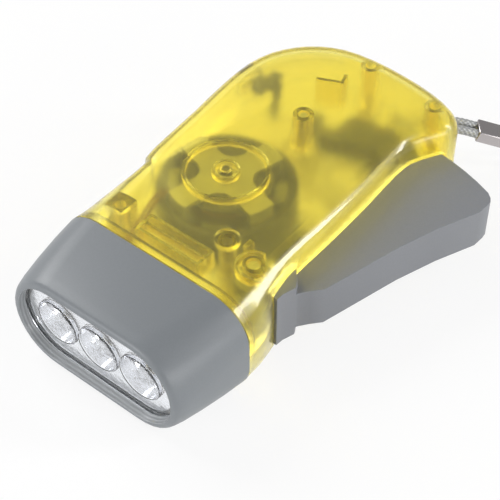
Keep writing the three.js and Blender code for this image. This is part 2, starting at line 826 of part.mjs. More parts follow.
// A claw plate: a cross whose four arms turn down or up at their ends.
function clawPlate(bottom, top, clawBottom, clawTop, turn) {
  const bites = [0, 1, 2, 3].map((k) => {
    const place = polar(new THREE.Vector2(), biteApex + biteRadius, turn + 45 + 90 * k);
    return disc(biteRadius, bottom - overrun, top + overrun, place.x, place.y, 20);
  });
  const web = cut(disc(biteApex + biteRadius, bottom, top, 0, 0, 32), ...bites);
  const arms = join(web, crossArms(clawWidth, clawRadius + overrun, bottom, top, turn));
  const claws = crossArms(clawWidth, clawRadius + overrun, clawBottom, clawTop, turn);
  const limit = disc(clawRadius, bottom - caseThickness, top + caseThickness, 0, 0, 40);
  const inside = disc(clawRadius - plateThickness, bottom - caseThickness, top + caseThickness, 0, 0, 40);
  return join(arms, cut(claws, inside)).intersect(limit);
}

function makeUpperPlate() {
  const clawBottom = upperPlateTop - clawDepth;
  const plate = clawPlate(upperPlateBottom, upperPlateTop, clawBottom, upperPlateTop, crossTurn);
  return cut(plate, hole(shaftRadius, 0, caseThickness, 0, 0, 16, runningGap));
}

const tabTop = flywheelTop - seatGap;

function makeLowerPlate() {
  const turn = crossTurn + 45;
  const top = lowerPlateBottom + plateThickness;
  const plate = clawPlate(lowerPlateBottom, top, lowerPlateBottom, tabTop, turn);
  const tabs = [0, 180].map((degrees) => {
    const inner = clawRadius - tabLength;
    const outer = clawRadius - plateThickness / 2;
    return block(inner, outer, -clawWidth / 2, clawWidth / 2, tabTop - plateThickness, tabTop)
      .rotate([0, 0, turn + degrees]);
  });
  const core = disc(coreRadius, lowerPlateBottom, upperPlateBottom - seatGap, 0, 0, 20);
  return cut(join(plate, core, ...tabs), hole(shaftRadius, 0, caseThickness, 0, 0, 16, runningGap));
}

const bobbinBottom = lowerPlateBottom + plateThickness + seatGap;
const bobbinTop = upperPlateBottom - seatGap;
const spoolRadius = coreRadius + seatGap + bobbinFlange;
const flangeReach = Math.min(bobbinRadius, clawRadius - tabLength - seatGap);

function makeBobbin() {
  const sides = 28;
  const bore = (coreRadius + seatGap) / Math.cos(Math.PI / sides);
  const low = bobbinBottom + bobbinFlange;
  const high = bobbinTop - bobbinFlange;
  return turned([
    [bore, bobbinBottom], [flangeReach, bobbinBottom], [flangeReach, low], [spoolRadius, low],
    [spoolRadius, high], [flangeReach, high], [flangeReach, bobbinTop], [bore, bobbinTop],
    [bore, bobbinBottom],
  ], sides);
}

function makeWinding() {
  const inner = spoolRadius + seatGap;
  const outer = flangeReach - 2 * seatGap;
  const low = bobbinBottom + bobbinFlange + seatGap;
  const high = bobbinTop - bobbinFlange - seatGap;
  const shoulder = bobbinFlange;
  return turned([
    [inner, low], [outer - shoulder, low], [outer, low + shoulder], [outer, high - shoulder],
    [outer - shoulder, high], [inner, high], [inner, low],
  ], 28);
}

function makeMagnet() {
  const outer = flywheelRadius - flywheelWall - seatGap;
  return tube(outer, outer - magnetThickness, flywheelFloor + seatGap, flywheelTop - seatGap, 0, 0, 40);
}

// Wrist strap: where the two strands leave the tail, and which way.
const strapHeading = 38.5;
const strapExit = new THREE.Vector2(strapExitX, tailReach - strapExitInset);
const strapPostPlace = onStrap(strapPostAlong, strapPostAcross, 0);

function onStrap(along, across, height) {
  const place = polar(strapExit, along, strapHeading);
  const side = radians(strapHeading + 90);
  return new THREE.Vector3(place.x + across * Math.cos(side), place.y + across * Math.sin(side), height);
}

// Distances of the strands along the heading from the exit, with the height there.
const strandRoute = [[-4.4, 11.2], [0, 11.2], [5, 11.4], [10, 11.3], [13, 10.75], [15.9, 9.8]];

function makeStrand(side, radius = cordDiameter / 2) {
  const points = strandRoute.map(([along, height], i) => {
    const beside = strapPostAcross + side * (strapPostRadius + seatGap + cordDiameter / 2);
    return onStrap(along, i === 0 ? beside : side * cordSpread, height);
  });
  return pathTube(points, radius, 8, 10);
}

// Casing: bosses, ribs and openings
const tailBossShares = [[0.1246, 0.9323], [0.84, 0.8835]];
const tailBosses = tailBossShares.map(([across, along]) => {
  return new THREE.Vector2(across * rightReach, along * tailReach);
});
const blockPlace = new THREE.Vector2(-blockAside, -headJoint + blockBehind);
const screwPlaces = [...tailBosses, postPlace, blockPlace];
const upperFoot = middle + partingGap / 2;
const lowerRim = middle - partingGap / 2;
const screwFloor = screwSink + screwHeadHeight + seatGap;

const laneStartAngle = 50;
const laneEndAngle = 94;
const laneSteps = 11;

function leverOpening() {
  const sweep = leverLength + runningGap;
  const front = leverPoint(handleOuterShares.at(-1)).y - seatGap;
  const outside = block(pivotX + laneInset, rightReach + caseThickness, front, tailReach, 0, caseThickness);
  const lane = slab([
    new THREE.Vector2(pivotX, pivotY - barrelRadius),
    new THREE.Vector2(rightReach + caseThickness, pivotY - barrelRadius),
    ...Array.from({ length: laneSteps + 1 }, (_, k) => {
      return polar(pivot, sweep, THREE.MathUtils.lerp(laneStartAngle, laneEndAngle, k / laneSteps));
    }),
  ], leverBottom - seatGap, leverTop + seatGap);
  const recess = hole(rootReach, rootBottom - seatGap, rootTop + seatGap, pivotX, pivotY, 40);
  const inward = disc(bossRadius + seatGap, 0, caseThickness, pivotX, pivotY, 16);
  return join(lane, cut(recess, inward)).intersect(outside);
}

function strapChannel(half, low, high) {
  const length = 4 * caseWall;
  return block(-length, length, -half, half, low, high)
    .rotate([0, 0, strapHeading]).translate([strapExit.x, strapExit.y, 0]);
}

function spigot(bottom, top) {
  const tubeBody = cut(
    headPrism(spigotLength, spigotInset, -spigotRoot, spigotLength),
    headPrism(spigotLength, spigotInset + spigotWall, -spigotRoot - overrun, spigotLength + overrun),
  );
  const flange = cut(
    headPrism(0, caseWall / 2, -spigotRoot, -seatGap),
    headPrism(spigotLength, spigotInset + spigotWall, -spigotRoot - overrun, overrun),
  );
  const side = block(-caseThickness * 2, caseThickness * 3, -headJoint - headLength, 0, bottom, top);
  return join(tubeBody, flange).intersect(side);
}

// The open tray of ribs behind the head, with one rib along its middle.
function trayRibs(top) {
  const front = -headJoint + trayFront;
  const back = front + trayWidth;
  const centre = (front + back) / 2;
  const outside = block(-trayLeft, trayRight, front, back, ceiling - ribDepth, top);
  const inside = block(
    -trayLeft + ribThickness, trayRight - ribThickness, front + ribThickness, back - ribThickness, 0, ceiling,
  );
  const centreRib = block(
    -trayLeft, trayRight, centre - ribThickness / 2, centre + ribThickness / 2, ceiling - caseWall, top,
  );
  return join(cut(outside, inside), centreRib);
}

// Two ribs in a corner at the tail, down to the lever's arm.
const cornerTurn = 25;
const cornerShortTurn = 18;

function cornerRibs(top) {
  const low = armTop + caseWall;
  const half = ribThickness / 2;
  const place = new THREE.Vector2(-cornerAside, cornerAlong);
  const end = polar(place, cornerLong / 2 - half / 2, cornerTurn);
  return join(
    block(-cornerLong / 2, cornerLong / 2, -half, half, low, top)
      .rotate([0, 0, cornerTurn]).translate([place.x, place.y, 0]),
    block(-half, half, -half, cornerShort - half, low, top)
      .rotate([0, 0, cornerShortTurn]).translate([end.x, end.y, 0]),
  );
}

function makeUpperCase() {
  const half = block(
    -leftReach * 2, rightReach * 2, -headJoint * 2, tailReach * 2, upperFoot, caseThickness + overrun,
  );
  const top = ceiling + caseWall / 2;
  const bosses = tailBosses.map((p) => disc(bossRadius, upperFoot, top, p.x, p.y, 16));
  const post = disc(postRadius, upperFoot, top, postPlace.x, postPlace.y, 16);
  const postHead = disc(postHeadRadius, ceiling - postHeadHeight, top, postPlace.x, postPlace.y, 18);
  const stand = block(
    blockPlace.x - blockHalf, blockPlace.x + blockHalf, blockPlace.y - blockHalf, blockPlace.y + blockHalf,
    upperFoot, top,
  );
  const axlePost = disc(axleBossRadius, armTop + partingGap + seatGap, top, axle.x, axle.y, 16);
  const pivotPost = disc(bossRadius, rootTop + seatGap, top, pivotX, pivotY, 16);
  const ringTube = (radius, sides) => {
    const half = ribThickness / 2;
    return tube(radius + half, radius - half, upperPlateTop + seatGap, top, 0, 0, sides);
  };
  const crescentOuter = barrelRadius - ribThickness / 2;
  const crescent = cut(
    tube(crescentOuter, crescentOuter - ribThickness, ceiling - caseWall, top, pivotX, pivotY, 28),
    block(pivotX, pivotX + barrelRadius, pivotY, pivotY + barrelRadius, 0, caseThickness),
  );
  const fingerX = pivotX - fingerAcross;
  const fingerY = pivotY + fingerBehind;
  const finger = block(
    fingerX - fingerThickness / 2, fingerX + fingerThickness / 2,
    fingerY - fingerLength / 2, fingerY + fingerLength / 2, ceiling - ribDepth, top,
  );
  const shell = join(
    caseShell, ...bosses, post, postHead, stand, axlePost, pivotPost, crescent, finger,
    ringTube(ringRib, 32), ringTube(hubRing, 20), trayRibs(top), cornerRibs(top),
  ).intersect(caseOuter);
  const body = join(shell, spigot(0, caseThickness)).intersect(half);
  const deepBores = tailBosses.map((p) => hole(screwRadius, 0, ceiling, p.x, p.y, 12));
  const shortBores = [postPlace, blockPlace].map((p) => {
    return hole(screwRadius, 0, ceiling - caseWall, p.x, p.y, 12);
  });
  const axleBore = hole(axleRadius, 0, ceiling, axle.x, axle.y, 14);
  const pinBore = hole(pinRadius, 0, ceiling + seatGap, pivotX, pivotY);
  const shaftBore = hole(shaftRadius, 0, ceiling + pinSeat, 0, 0, 14);
  const slotMiddle = sliderTop - sliderPlate;
  const sliderSlot = block(
    -leftReach - overrun, -leftReach + 2 * caseWall,
    sliderY - sliderNeck / 2 - sliderTravel - seatGap, sliderY + sliderNeck / 2 + seatGap,
    slotMiddle - sliderNeck / 2 - seatGap, slotMiddle + sliderNeck / 2 + seatGap,
  );
  return cut(body, leverOpening(), ...deepBores, ...shortBores, axleBore, pinBore, shaftBore, sliderSlot);
}

function makeLowerCase() {
  const half = block(-leftReach * 2, rightReach * 2, -headJoint * 2, tailReach * 2, -overrun, lowerRim);
  const bosses = screwPlaces.map((p) => disc(screwBossRadius, caseWall / 2, lowerRim, p.x, p.y, 16));
  const axleSeat = disc(axleBossRadius, caseWall / 2, wheelBottom - seatGap, axle.x, axle.y, 14);
  const shaftSeat = disc(axleBossRadius, caseWall / 2, wheelBottom - seatGap, 0, 0, 14);
  const pivotSeat = disc(bossRadius, caseWall / 2, rootBottom - seatGap, pivotX, pivotY, 14);
  const strapPost = disc(strapPostRadius, caseWall / 2, lowerRim, strapPostPlace.x, strapPostPlace.y, 14);
  const shell = join(caseShell, ...bosses, axleSeat, shaftSeat, pivotSeat, strapPost).intersect(caseOuter);
  const body = join(shell, spigot(0, caseThickness)).intersect(half);
  const heads = screwPlaces.map((p) => hole(screwHeadRadius, -overrun, screwFloor, p.x, p.y));
  const shanks = screwPlaces.map((p) => hole(screwRadius, 0, caseThickness, p.x, p.y, 12));
  const axleBore = hole(axleRadius, caseWall - pinSeat, caseThickness, axle.x, axle.y, 14);
  const pinBore = hole(pinRadius, caseWall - pinSeat, caseThickness, pivotX, pivotY);
  const shaftBore = hole(shaftRadius, caseWall - pinSeat, caseThickness, 0, 0, 14);
  const channelHalf = cordSpread + cordDiameter / 2 + 2 * seatGap;
  const notch = strapChannel(channelHalf, lowerRim - strapNotch, caseThickness);
  const keepPost = disc(strapPostRadius, 0, caseThickness, strapPostPlace.x, strapPostPlace.y, 14);
  const beds = [1, -1].map((side) => makeStrand(side, cordDiameter / 2 + runningGap));
  const bores = [...heads, ...shanks, axleBore, pinBore, shaftBore];
  return cut(body, leverOpening(), ...bores, cut(notch, keepPost), ...beds);
}

function makeScrew(place) {
  const headBottom = screwSink;
  const headTop = screwSink + screwHeadHeight;
  const profile = [
    [0, headBottom], [screwHeadRadius * 0.8, headBottom],
    [screwHeadRadius, headBottom + screwHeadHeight * 0.4], [screwHeadRadius, headTop],
    [screwRadius, headTop], [screwRadius, headTop + screwLength - screwRadius],
    [0, headTop + screwLength],
  ];
  return turned(profile, 12).translate([place.x, place.y, 0]);
}

function makePin(radius, x, y, bottom, top) {
  const chamfer = radius * 0.2;
  return turned([
    [0, bottom], [radius - chamfer, bottom], [radius, bottom + chamfer], [radius, top - chamfer],
    [radius - chamfer, top], [0, top],
  ], 14).translate([x, y, 0]);
}

// Lock slider: a thumb pad outside the wall, a cross plate inside and a catch for the arm's notch.
const wallX = -leftReach;

function makeSlider() {
  const plateBottom = sliderTop - sliderPlate;
  const wallInner = wallX + caseWall + 3 * seatGap;
  const crossX = wallInner + catchWidth;
  const half = catchWidth / 2;
  const plate = join(
    block(wallInner, sliderX + half, sliderY - catchWidth, sliderY + catchWidth, plateBottom, sliderTop),
    block(
      crossX, crossX + 2 * catchWidth, sliderY - thumbLength / 2, sliderY + thumbLength / 2,
      plateBottom, sliderTop,
    ),
  );
  const leg = block(
    sliderX - half, sliderX + half, sliderY - half, sliderY + half, armBottom + caseWall / 2, sliderTop,
  );
  const padFace = wallX - 2 * seatGap;
  const neck = block(
    padFace, crossX, sliderY - sliderNeck / 2, sliderY + sliderNeck / 2,
    plateBottom - sliderNeck / 2, plateBottom + sliderNeck / 2,
  );
  const padMiddle = plateBottom - thumbDrop;
  const padShares = [[0, -1], [0, 1], [0.6, 1], [1, 0.5], [0.5, 0], [1, -0.5], [0.6, -1]];
  const padOutline = padShares.map(([out, along]) => {
    return new THREE.Vector2(padFace - out * thumbRise, sliderY + along * thumbLength / 2);
  });
  const pad = slab(padOutline, padMiddle - thumbHeight / 2, padMiddle + thumbHeight / 2);
  return join(plate, leg, neck, pad);
}

// Coil leads: over the flywheel's rim, x and y as shares of its radius, then down to the board
// beside the block, x as a share of the block's place and y of the joint. The height is over the
// rim, as a share of the leads' rise.
const leadOverShares = [
  [-0.447, -0.59, -1.08], [-0.466, -0.621, 0.25], [-0.516, -0.733, 1], [-0.497, -0.932, 0.92],
];
const leadDownShares = [
  [-0.655, -0.617, -0.08], [-0.582, -0.779, -1.42], [-0.509, -0.942, -2.58], [-0.4545, -1.104, -3.42],
];

function makeLead(side) {
  const place = (reachX, reachY) => ([x, y, rise]) => new THREE.Vector3(
    x * reachX + side * leadSpread, y * reachY, flywheelTop + rise * leadRise,
  );
  const points = [
    ...leadOverShares.map(place(flywheelRadius, flywheelRadius)),
    ...leadDownShares.map(place(blockAside, headJoint)),
  ];
  const last = points.at(-1);
  points.push(new THREE.Vector3(last.x, -headJoint - boardBack + 2 * seatGap, last.z));
  return pathTube(points, leadRadius, 6, 14);
}

// A tube of even section along a smooth line through points.
function pathTube(points, radius, sides, steps) {
  const section = new THREE.Shape();
  for (let k = 0; k < sides; k += 1) {
    const angle = 2 * Math.PI * k / sides;
    const x = radius * Math.cos(angle);
    const y = radius * Math.sin(angle);
    if (k === 0) {
      section.moveTo(x, y);
    } else {
      section.lineTo(x, y);
    }
  }
  const path = new THREE.CatmullRomCurve3(points);
  const geometry = new THREE.ExtrudeGeometry(section, { steps, bevelEnabled: false, extrudePath: path });
  return solid(geometry);
}

function makeRectifier() {
  const back = -(headJoint + spigotLength) + seatGap;
  const half = rectifierLength / 2;
  const tall = rectifierHeight / 2;
  const body = slab([
    new THREE.Vector2(-half, -tall + rectifierChamfer), new THREE.Vector2(-half + rectifierChamfer, -tall),
    new THREE.Vector2(half, -tall), new THREE.Vector2(half, tall),
    new THREE.Vector2(-half + rectifierChamfer, tall), new THREE.Vector2(-half, tall - rectifierChamfer),
  ], 0, rectifierDepth);
  return body.rotate([90, 0, 0]).translate([headCentre, back + rectifierDepth, middle]);
}

// Strap: the crimp on the two strands, then the coiled loop.
const crimpDropShare = 0.33;
const crimpTilt = Math.atan(crimpDropShare);
const [strandEnd, strandEndHeight] = strandRoute.at(-1);

// A place on the crimp's axis, at a distance behind the strands' ends.
function onCrimp(distance, across) {
  const along = strandEnd + distance * Math.cos(crimpTilt);
  return onStrap(along, across, strandEndHeight - distance * Math.sin(crimpTilt));
}

function makeCrimp() {
  const half = crimpWidth / 2;
  const tall = crimpHeight / 2;
  const round = crimpWall;
  const shape = [
    [-half + round, -tall], [half - round, -tall], [half, -tall + round], [half, tall - round],
    [half - round, tall], [-half + round, tall], [-half, tall - round], [-half, -tall + round],
  ].map(([x, y]) => new THREE.Vector2(x, y));
  const centre = onCrimp(seatGap, 0);
  return slab(shape, 0, crimpLength)
    .rotate([90, 0, 90]).rotate([0, THREE.MathUtils.radToDeg(crimpTilt), 0]).rotate([0, 0, strapHeading])
    .translate([centre.x, centre.y, centre.z]);
}

const coilStep = cordDiameter + cordGap;
const coilAhead = 26.5;
const neckSteps = 7;

// The loop lies on the floor in two layers. Each neck leaves the crimp straight and bends to where
// it touches the outer round, the first one down to the floor and the last one from the top layer.
function coilPoints() {
  const neckStart = crimpLength + 2 * seatGap;
  const low = cordDiameter / 2 + seatGap / 2;
  const steps = 24;
  const rounds = (outer) => {
    const touch = 180 - THREE.MathUtils.radToDeg(Math.acos(outer / coilAhead));
    return { touch, total: coilRounds + 2 * touch / 360 };
  };
  const outer = coilMiddle + coilStep * rounds(coilMiddle).total / 4;
  const { touch, total } = rounds(outer);
  const centreAlong = strandEnd + neckStart + coilAhead;
  const onRound = (radius, angle, height) => {
    return onStrap(centreAlong + radius * Math.cos(angle), radius * Math.sin(angle), height);
  };
  const count = Math.round(total * steps);
  const points = [];
  for (let k = 0; k <= count; k += 1) {
    const turn = total * k / count;
    const inward = Math.min(turn, total - turn);
    const climb = THREE.MathUtils.smoothstep(turn, total / 2 - 1 / 4, total / 2 + 1 / 4);
    points.push(onRound(outer - coilStep * inward, radians(360 * turn - touch), low + coilStep * climb));
  }
  const neck = (side, end, next) => {
    const first = onCrimp(neckStart, side * cordSpread);
    const straight = onCrimp(neckStart + cordDiameter, side * cordSpread);
    const lead = onCrimp(neckStart + 3 * cordDiameter, side * cordSpread);
    const back = end.clone().sub(next).setLength(coilAhead / 3);
    const curve = new THREE.CubicBezierCurve3(straight, lead, end.clone().add(back), end);
    return [first, ...curve.getSpacedPoints(neckSteps).slice(0, -1)];
  };
  const into = neck(-1, points[0], points[1]);
  const out = neck(1, points.at(-1), points.at(-2));
  return [...into, ...points, ...out.reverse()];
}

function makeCoil() {
  const line = coilPoints();
  console.log('strap coil least gap', leastGap(line, cordDiameter / 2, 6).toFixed(2));
  return woundTube(line, cordDiameter / 2, 6);
}

function makeSpring() {
  const points = springPoints();
  console.log('return spring least gap', leastGap(points, springWire / 2, 5).toFixed(2));
  return woundTube(points, springWire / 2, 5);
}

const yellow = 0xe6d21e;
const grey = 0x7d8083;
const darkGrey = 0x33352f;
const steel = 0xb9bcc0;
const nylon = 0xf0efe6;

add('upper_case', makeUpperCase(), yellow, 0.35);
add('lower_case', makeLowerCase(), yellow, 0.35);
add('head_bezel', makeBezel(), grey, 0.55);
add('lens', headPrism(lipBack, lensInset, lensBack, lensFront), 0xf4f8fa, 0.05);
add('reflector', makeReflector(), 0xdadde2, 0.1, 1);
['led_left', 'led_middle', 'led_right'].forEach((name, i) => add(name, makeLed(lampX[i]), 0xeef2f6, 0.05));
add('led_board', headPrism(lipBack, boardInset, boardBack, boardFront), 0xd8d2bf, 0.6);
add('rectifier', makeRectifier(), 0x1d1d1f, 0.5);
add('stator_upper_plate', makeUpperPlate(), steel, 0.35, 1);
add('stator_lower_plate', makeLowerPlate(), steel, 0.35, 1);
add('coil_bobbin', makeBobbin(), darkGrey, 0.5);
add('coil_winding', makeWinding(), 0xb5652a, 0.35, 0.8);
add('coil_lead_left', makeLead(-1), 0x8a5a2c, 0.4);
add('coil_lead_right', makeLead(1), 0x8a5a2c, 0.4);
const pinFoot = caseWall - pinSeat + seatGap;
add('dynamo_shaft', makePin(shaftRadius, 0, 0, pinFoot, ceiling + pinSeat - seatGap), steel, 0.25, 1);
add('gear_axle', makePin(axleRadius, axle.x, axle.y, pinFoot, ceiling - seatGap), steel, 0.25, 1);
add('lever_pin', makePin(pinRadius, pivotX, pivotY, pinFoot, ceiling), steel, 0.25, 1);
add('return_spring', makeSpring(), steel, 0.3, 1);
screwPlaces.forEach((place, i) => add(`case_screw_${i + 1}`, makeScrew(place), steel, 0.35, 1));
add('lever', makeLever(), grey, 0.55);
add('drive_gear', makeDriveGear(), nylon, 0.45);
add('clutch_pinion', makeClutchPinion(), nylon, 0.45);
add('flywheel', makeFlywheel(), darkGrey, 0.5);
add('ring_magnet', makeMagnet(), 0x26262a, 0.6);
add('lock_slider', makeSlider(), darkGrey, 0.5);
add('strap_strand_left', makeStrand(1), 0xb4b6b8, 0.7);
add('strap_strand_right', makeStrand(-1), 0xb4b6b8, 0.7);
add('strap_crimp', makeCrimp(), 0xa9a5a6, 0.25, 1);
add('strap_coil', makeCoil(), 0xb4b6b8, 0.7);

export default group;
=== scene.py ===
import json
import math

import bmesh
import bpy
from mathutils import Matrix, Vector


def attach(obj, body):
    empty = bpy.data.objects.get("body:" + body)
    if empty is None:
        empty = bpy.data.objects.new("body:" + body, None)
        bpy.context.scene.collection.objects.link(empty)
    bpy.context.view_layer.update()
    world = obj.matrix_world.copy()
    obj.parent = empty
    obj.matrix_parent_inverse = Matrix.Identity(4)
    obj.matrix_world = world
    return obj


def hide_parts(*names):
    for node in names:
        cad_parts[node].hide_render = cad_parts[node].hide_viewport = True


# Squeeze dynamo flashlight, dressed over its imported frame. Lengths are in millimetres and
# mm turns them into metres.

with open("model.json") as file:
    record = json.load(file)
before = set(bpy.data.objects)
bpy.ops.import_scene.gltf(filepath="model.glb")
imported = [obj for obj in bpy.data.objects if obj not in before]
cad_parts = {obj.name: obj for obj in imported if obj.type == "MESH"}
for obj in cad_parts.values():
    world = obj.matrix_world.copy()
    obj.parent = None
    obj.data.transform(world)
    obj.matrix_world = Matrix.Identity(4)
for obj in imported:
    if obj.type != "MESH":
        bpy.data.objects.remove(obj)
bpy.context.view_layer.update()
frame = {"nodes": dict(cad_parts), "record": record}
cadNodes = frame["nodes"]
scene = bpy.context.scene
mm = 0.001
print("frame loaded with", len(cadNodes), "nodes")


# Camera, at the photograph's viewing angle

photoView = {
    "lens": 100.8,
    "sensor": 36.0,
    "azimuth": 39.41,
    "elevation": 46.3,
    "distance": 310.0,
    "target": (12.59, -7.02, 13.1),
    "clipStart": 10.0,
}


def placeCamera(view):
    azimuth = math.radians(view["azimuth"])
    elevation = math.radians(view["elevation"])
    away = Vector((
        math.sin(azimuth) * math.cos(elevation),
        -math.cos(azimuth) * math.cos(elevation),
        math.sin(elevation),
    ))
    place = (Vector(view["target"]) + away * view["distance"]) * mm
    bpy.ops.object.camera_add(location=place)
    camera = bpy.context.object
    camera.rotation_euler = (-away).to_track_quat("-Z", "Y").to_euler()
    camera.data.sensor_width = view["sensor"]
    camera.data.lens = view["lens"]
    camera.data.clip_start = view["clipStart"] * mm
    camera.data.dof.use_dof = False
    scene.camera = camera


placeCamera(photoView)
print("camera placed")


# Small helpers for materials

def linear(hexColour):
    # sRGB hex to the linear values that the nodes work in
    channels = [int(hexColour[i:i + 2], 16) / 255 for i in (1, 3, 5)]
    return [c / 12.92 if c <= 0.04045 else ((c + 0.055) / 1.055) ** 2.4 for c in channels] + [1.0]


def addNode(tree, kind, settings=None, inputs=None, links=None):
    node = tree.nodes.new(kind)
    for name, value in (settings or {}).items():
        setattr(node, name, value)
    for name, value in (inputs or {}).items():
        node.inputs[name].default_value = value
    for name, source in (links or {}).items():
        tree.links.new(source, node.inputs[name])
    return node


def newMaterial(name):
    material = bpy.data.materials.new(name)
    material.use_nodes = True
    tree = material.node_tree
    tree.nodes.clear()
    return material, tree


def finishMaterial(tree, shader):
    output = addNode(tree, "ShaderNodeOutputMaterial")
    tree.links.new(shader, output.inputs["Surface"])


grainDepth = 0.05  # millimetres from the grain's valleys to its tops


def grainBump(tree, size, strength):
    # a moulded or cast skin: noise of a real grain size in millimetres, as a bump
    place = addNode(tree, "ShaderNodeTexCoord")
    grain = addNode(
        tree, "ShaderNodeTexNoise",
        inputs={"Scale": 1 / (size * mm), "Detail": 2.0, "Roughness": 0.6},
        links={"Vector": place.outputs["Object"]},
    )
    return addNode(
        tree, "ShaderNodeBump",
        inputs={"Strength": strength, "Distance": grainDepth * mm},
        links={"Height": grain.outputs["Fac"]},
    ), grain


wallCrossed = 2.5  # a ray with more clear faces than this behind it has crossed a whole wall


def letsLampsThrough(tree, body, colour, dimmed=None):
    # clear plastic stays a refracting solid to the eye and lets the lamps reach what is behind it;
    # light that has crossed one wall and leaves by another gets the dimmed colour
    through = addNode(tree, "ShaderNodeBsdfTransparent", inputs={"Color": linear(colour)})
    rays = addNode(tree, "ShaderNodeLightPath")
    if dimmed:
        leaving = addNode(
            tree, "ShaderNodeMath", {"operation": "GREATER_THAN"}, {1: wallCrossed},
            {0: rays.outputs["Transparent Depth"]},
        )
        tint = addNode(
            tree, "ShaderNodeMix", {"data_type": "RGBA"}, {6: linear(colour), 7: linear(dimmed)},
            {0: leaving.outputs[0]},
        )
        tree.links.new(tint.outputs[2], through.inputs["Color"])
    skin = addNode(
        tree, "ShaderNodeMixShader",
        links={
            0: rays.outputs["Is Shadow Ray"], 1: body.outputs["BSDF"], 2: through.outputs["BSDF"],
        },
    )
    return skin.outputs["Shader"]


# Transparent polystyrene, injection moulded and tinted through: what lies close behind it shows
# crisp and what lies deep goes hazy, under a bright glossy skin. The pigment scatters some of the
# light back, which is the yellow veil over the dark parts. Lamps shine through it.
def tintedPolystyrene():
    material, tree = newMaterial("tinted polystyrene moulding")
    bump, grain = grainBump(tree, 0.9, 0.03)
    mottle = addNode(
        tree, "ShaderNodeMix", {"data_type": "RGBA"},
        {6: linear("#FDF080"), 7: linear("#FEF48B")},
        {0: grain.outputs["Fac"]},
    )
    body = addNode(
        tree, "ShaderNodeBsdfPrincipled",
        inputs={
            "Roughness": 0.25, "IOR": 1.46, "Transmission Weight": 0.97, "Coat Weight": 0.3,
            "Coat Roughness": 0.04, "Coat IOR": 1.5,
        },
        links={"Base Color": mottle.outputs[2], "Normal": bump.outputs["Normal"]},
    )
    finishMaterial(tree, letsLampsThrough(tree, body, "#FCF4A8", "#4E4E54"))
    return material


# Unpigmented nylon, moulded: milky, so that the paper under the case glows through the gears.
def milkyNylon():
    material, tree = newMaterial("natural nylon moulding")
    bump, grain = grainBump(tree, 0.6, 0.1)
    body = addNode(
        tree, "ShaderNodeBsdfPrincipled",
        inputs={
            "Base Color": linear("#FCFBF4"), "Roughness": 0.4, "IOR": 1.53,
            "Transmission Weight": 0.85,
        },
        links={"Normal": bump.outputs["Normal"]},
    )
    finishMaterial(tree, letsLampsThrough(tree, body, "#E8E6DA", "#7E7D76"))
    return material


# Grey ABS, injection moulded in a spark-eroded tool: a fine even matt grain. Bare board, bonded
# ferrite and silicone look alike, each with its own colour and grain.
def mouldedAbs(name, colour, dark, roughness, grainSize=0.35, strength=0.25, gleam=0.5):
    material, tree = newMaterial(name)
    bump, grain = grainBump(tree, grainSize, strength)
    tone = addNode(
        tree, "ShaderNodeMix", {"data_type": "RGBA"},
        {6: linear(dark), 7: linear(colour)},
        {0: grain.outputs["Fac"]},
    )
    shader = addNode(
        tree, "ShaderNodeBsdfPrincipled",
        inputs={"Roughness": roughness, "IOR": 1.54, "Specular IOR Level": gleam},
        links={"Base Color": tone.outputs[2], "Normal": bump.outputs["Normal"]},
    )
    finishMaterial(tree, shader.outputs["BSDF"])
    return material


waveTurn = 0.314  # at scale 1 the wave node repeats after this distance


# The same ABS where the mould was turned: its rings catch the light, and this is painted in. The
# colour is paler than the head's as a painted highlight, and it runs lighter on the ring crests
# than in the valleys, over a bump. Real ones are about 0.2 mm apart, and 0.8 mm is what shows in
# the render.
def turnedAbs(name, valleyShade, crestHighlight, pitch):
    material, tree = newMaterial(name)
    place = addNode(tree, "ShaderNodeTexCoord")
    rings = addNode(
        tree, "ShaderNodeTexWave", {"bands_direction": "Y"},
        {"Scale": waveTurn / (pitch * mm), "Distortion": 0.4, "Detail": 1.0},
        {"Vector": place.outputs["Object"]},
    )
    bump = addNode(
        tree, "ShaderNodeBump", inputs={"Strength": 0.7, "Distance": 0.08 * mm},
        links={"Height": rings.outputs["Fac"]},
    )
    tone = addNode(
        tree, "ShaderNodeMix", {"data_type": "RGBA"},
        {6: linear(valleyShade), 7: linear(crestHighlight)}, {0: rings.outputs["Fac"]},
    )
    shader = addNode(
        tree, "ShaderNodeBsdfPrincipled", inputs={"Roughness": 0.28, "IOR": 1.54},
        links={"Base Color": tone.outputs[2], "Normal": bump.outputs["Normal"]},
    )
    finishMaterial(tree, shader.outputs["BSDF"])
    return material


smoothest = 0.02  # no worked metal shines more


# Bright metal, stamped, drawn or plated: fine scratches vary its roughness.
def brightMetal(name, colour, roughness, spread=0.08, grainSize=0.6, relief=0.04):
    material, tree = newMaterial(name)
    bump, grain = grainBump(tree, grainSize, relief)
    rough = addNode(
        tree, "ShaderNodeMapRange",
        inputs={"To Min": max(roughness - spread, smoothest), "To Max": roughness + spread},
        links={"Value": grain.outputs["Fac"]},
    )
    shader = addNode(
        tree, "ShaderNodeBsdfPrincipled",
        inputs={"Base Color": linear(colour), "Metallic": 1.0},
        links={"Roughness": rough.outputs["Result"], "Normal": bump.outputs["Normal"]},
    )
    finishMaterial(tree, shader.outputs["BSDF"])
    return material


# Acrylic or epoxy, cast clear and left glossy, with the faint waves of casting. Lamps shine
# through it.
def castClear(name, colour, ior, roughness=0.0, relief=0.02):
    material, tree = newMaterial(name)
    bump, grain = grainBump(tree, 1.5, relief)
    body = addNode(
        tree, "ShaderNodeBsdfPrincipled",
        inputs={
            "Base Color": linear(colour), "Roughness": roughness, "IOR": ior,
            "Transmission Weight": 1.0,
        },
        links={"Normal": bump.outputs["Normal"]},
    )
    finishMaterial(tree, letsLampsThrough(tree, body, colour))
    return material


